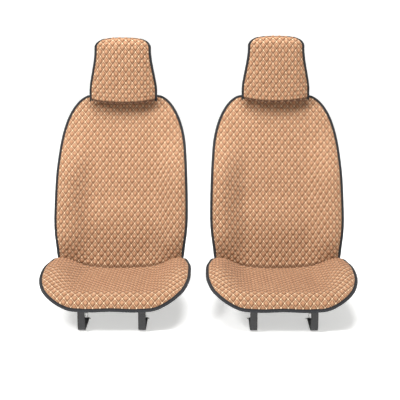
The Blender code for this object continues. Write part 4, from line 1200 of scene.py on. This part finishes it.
studio = {
    "floorZ": -0.1105, "floorRadius": 6.0, "curve": 2.2, "wallTop": 3.0, "sides": 128,
    "paper": (0.90, 0.90, 0.893), "glow": 0.47, "sky": 0.28,
    "key": {"at": (-2.2, -1.8, 2.7), "size": 0.7, "power": 76},
    "fill": {"at": (2.5, -2.8, 1.3), "size": 2.4, "power": 5},
    "top": {"at": (-0.1, -0.55, 3.1), "size": 2.0, "power": 146},
}
camera = {
    "at": (0.0342, -3.8325, 1.0716), "towards": (0.0035, 0.080, 0.240), "lens": 96, "sensor": 36,
}


def paperBowl():
    # a floor that turns up all round through a quarter circle into a low wall: radius and height
    # as functions of the way out, turned about the upright axis
    s = studio
    turn = np.linspace(0, np.pi / 2, 30)
    radius = np.concatenate([[0.02, 1.5, 3.0, 4.5], s["floorRadius"] + s["curve"] * np.sin(turn),
                             [s["floorRadius"] + s["curve"]]])
    height = np.concatenate([[0.0] * 4, s["curve"] * (1 - np.cos(turn)), [s["wallTop"]]]) + s["floorZ"]
    around = np.linspace(0, 2 * np.pi, s["sides"] + 1)[None, :]
    points = np.stack([radius[:, None] * np.cos(around), radius[:, None] * np.sin(around),
                       height[:, None] + 0 * around], -1)
    points[:, -1] = points[:, 0]
    mesh = bpy.data.meshes.new("paperBowl")
    quads = gridQuads(len(radius), s["sides"] + 1)[:, ::-1].tolist()
    mesh.from_pydata(points.reshape(-1, 3).tolist(), [], quads + [list(range(s["sides"]))])
    mesh.shade_smooth()
    material, tree, shader, places = newFinish("backdropPaper", 0.95, specular=0.1)
    grain = noise(tree, places["object"], 220, 3.0, 0.6)
    colour = mixColour(tree, grain, s["paper"], tuple(0.992 * c for c in s["paper"]))
    tree.links.new(colour, shader.inputs["Base Color"])
    shader.inputs["Emission Color"].default_value = (1.0, 1.0, 0.985, 1)
    shader.inputs["Emission Strength"].default_value = s["glow"]
    floor = addPiece("paperBowl", mesh, material)


def areaLight(name, setup, towards):
    # a square soft light that faces a point
    data = bpy.data.lights.new(name, "AREA")
    data.shape = "SQUARE"
    data.size = setup["size"]
    data.energy = setup["power"]
    light = bpy.data.objects.new(name, data)
    light.location = setup["at"]
    light.rotation_euler = (Vector(towards) - Vector(setup["at"])).to_track_quat("-Z", "Y").to_euler()
    bpy.context.scene.collection.objects.link(light)


paperBowl()
for name in ("key", "fill", "top"):
    areaLight(name + "Light", studio[name], (0.0, 0.05, 0.30))
world = bpy.data.worlds.new("studioSky")
world.use_nodes = True
world.node_tree.nodes["Background"].inputs["Color"].default_value = (1.0, 1.0, 0.99, 1)
world.node_tree.nodes["Background"].inputs["Strength"].default_value = studio["sky"]
bpy.context.scene.world = world
bpy.context.scene.view_settings.view_transform = "Standard"

cameraData = bpy.data.cameras.new("camera")
cameraData.lens = camera["lens"]
cameraData.sensor_width = camera["sensor"]
viewer = bpy.data.objects.new("camera", cameraData)
viewer.location = camera["at"]
viewer.rotation_euler = (Vector(camera["towards"]) - Vector(camera["at"])).to_track_quat("-Z", "Y").to_euler()
bpy.context.scene.collection.objects.link(viewer)
bpy.context.scene.camera = viewer
print("studio made")
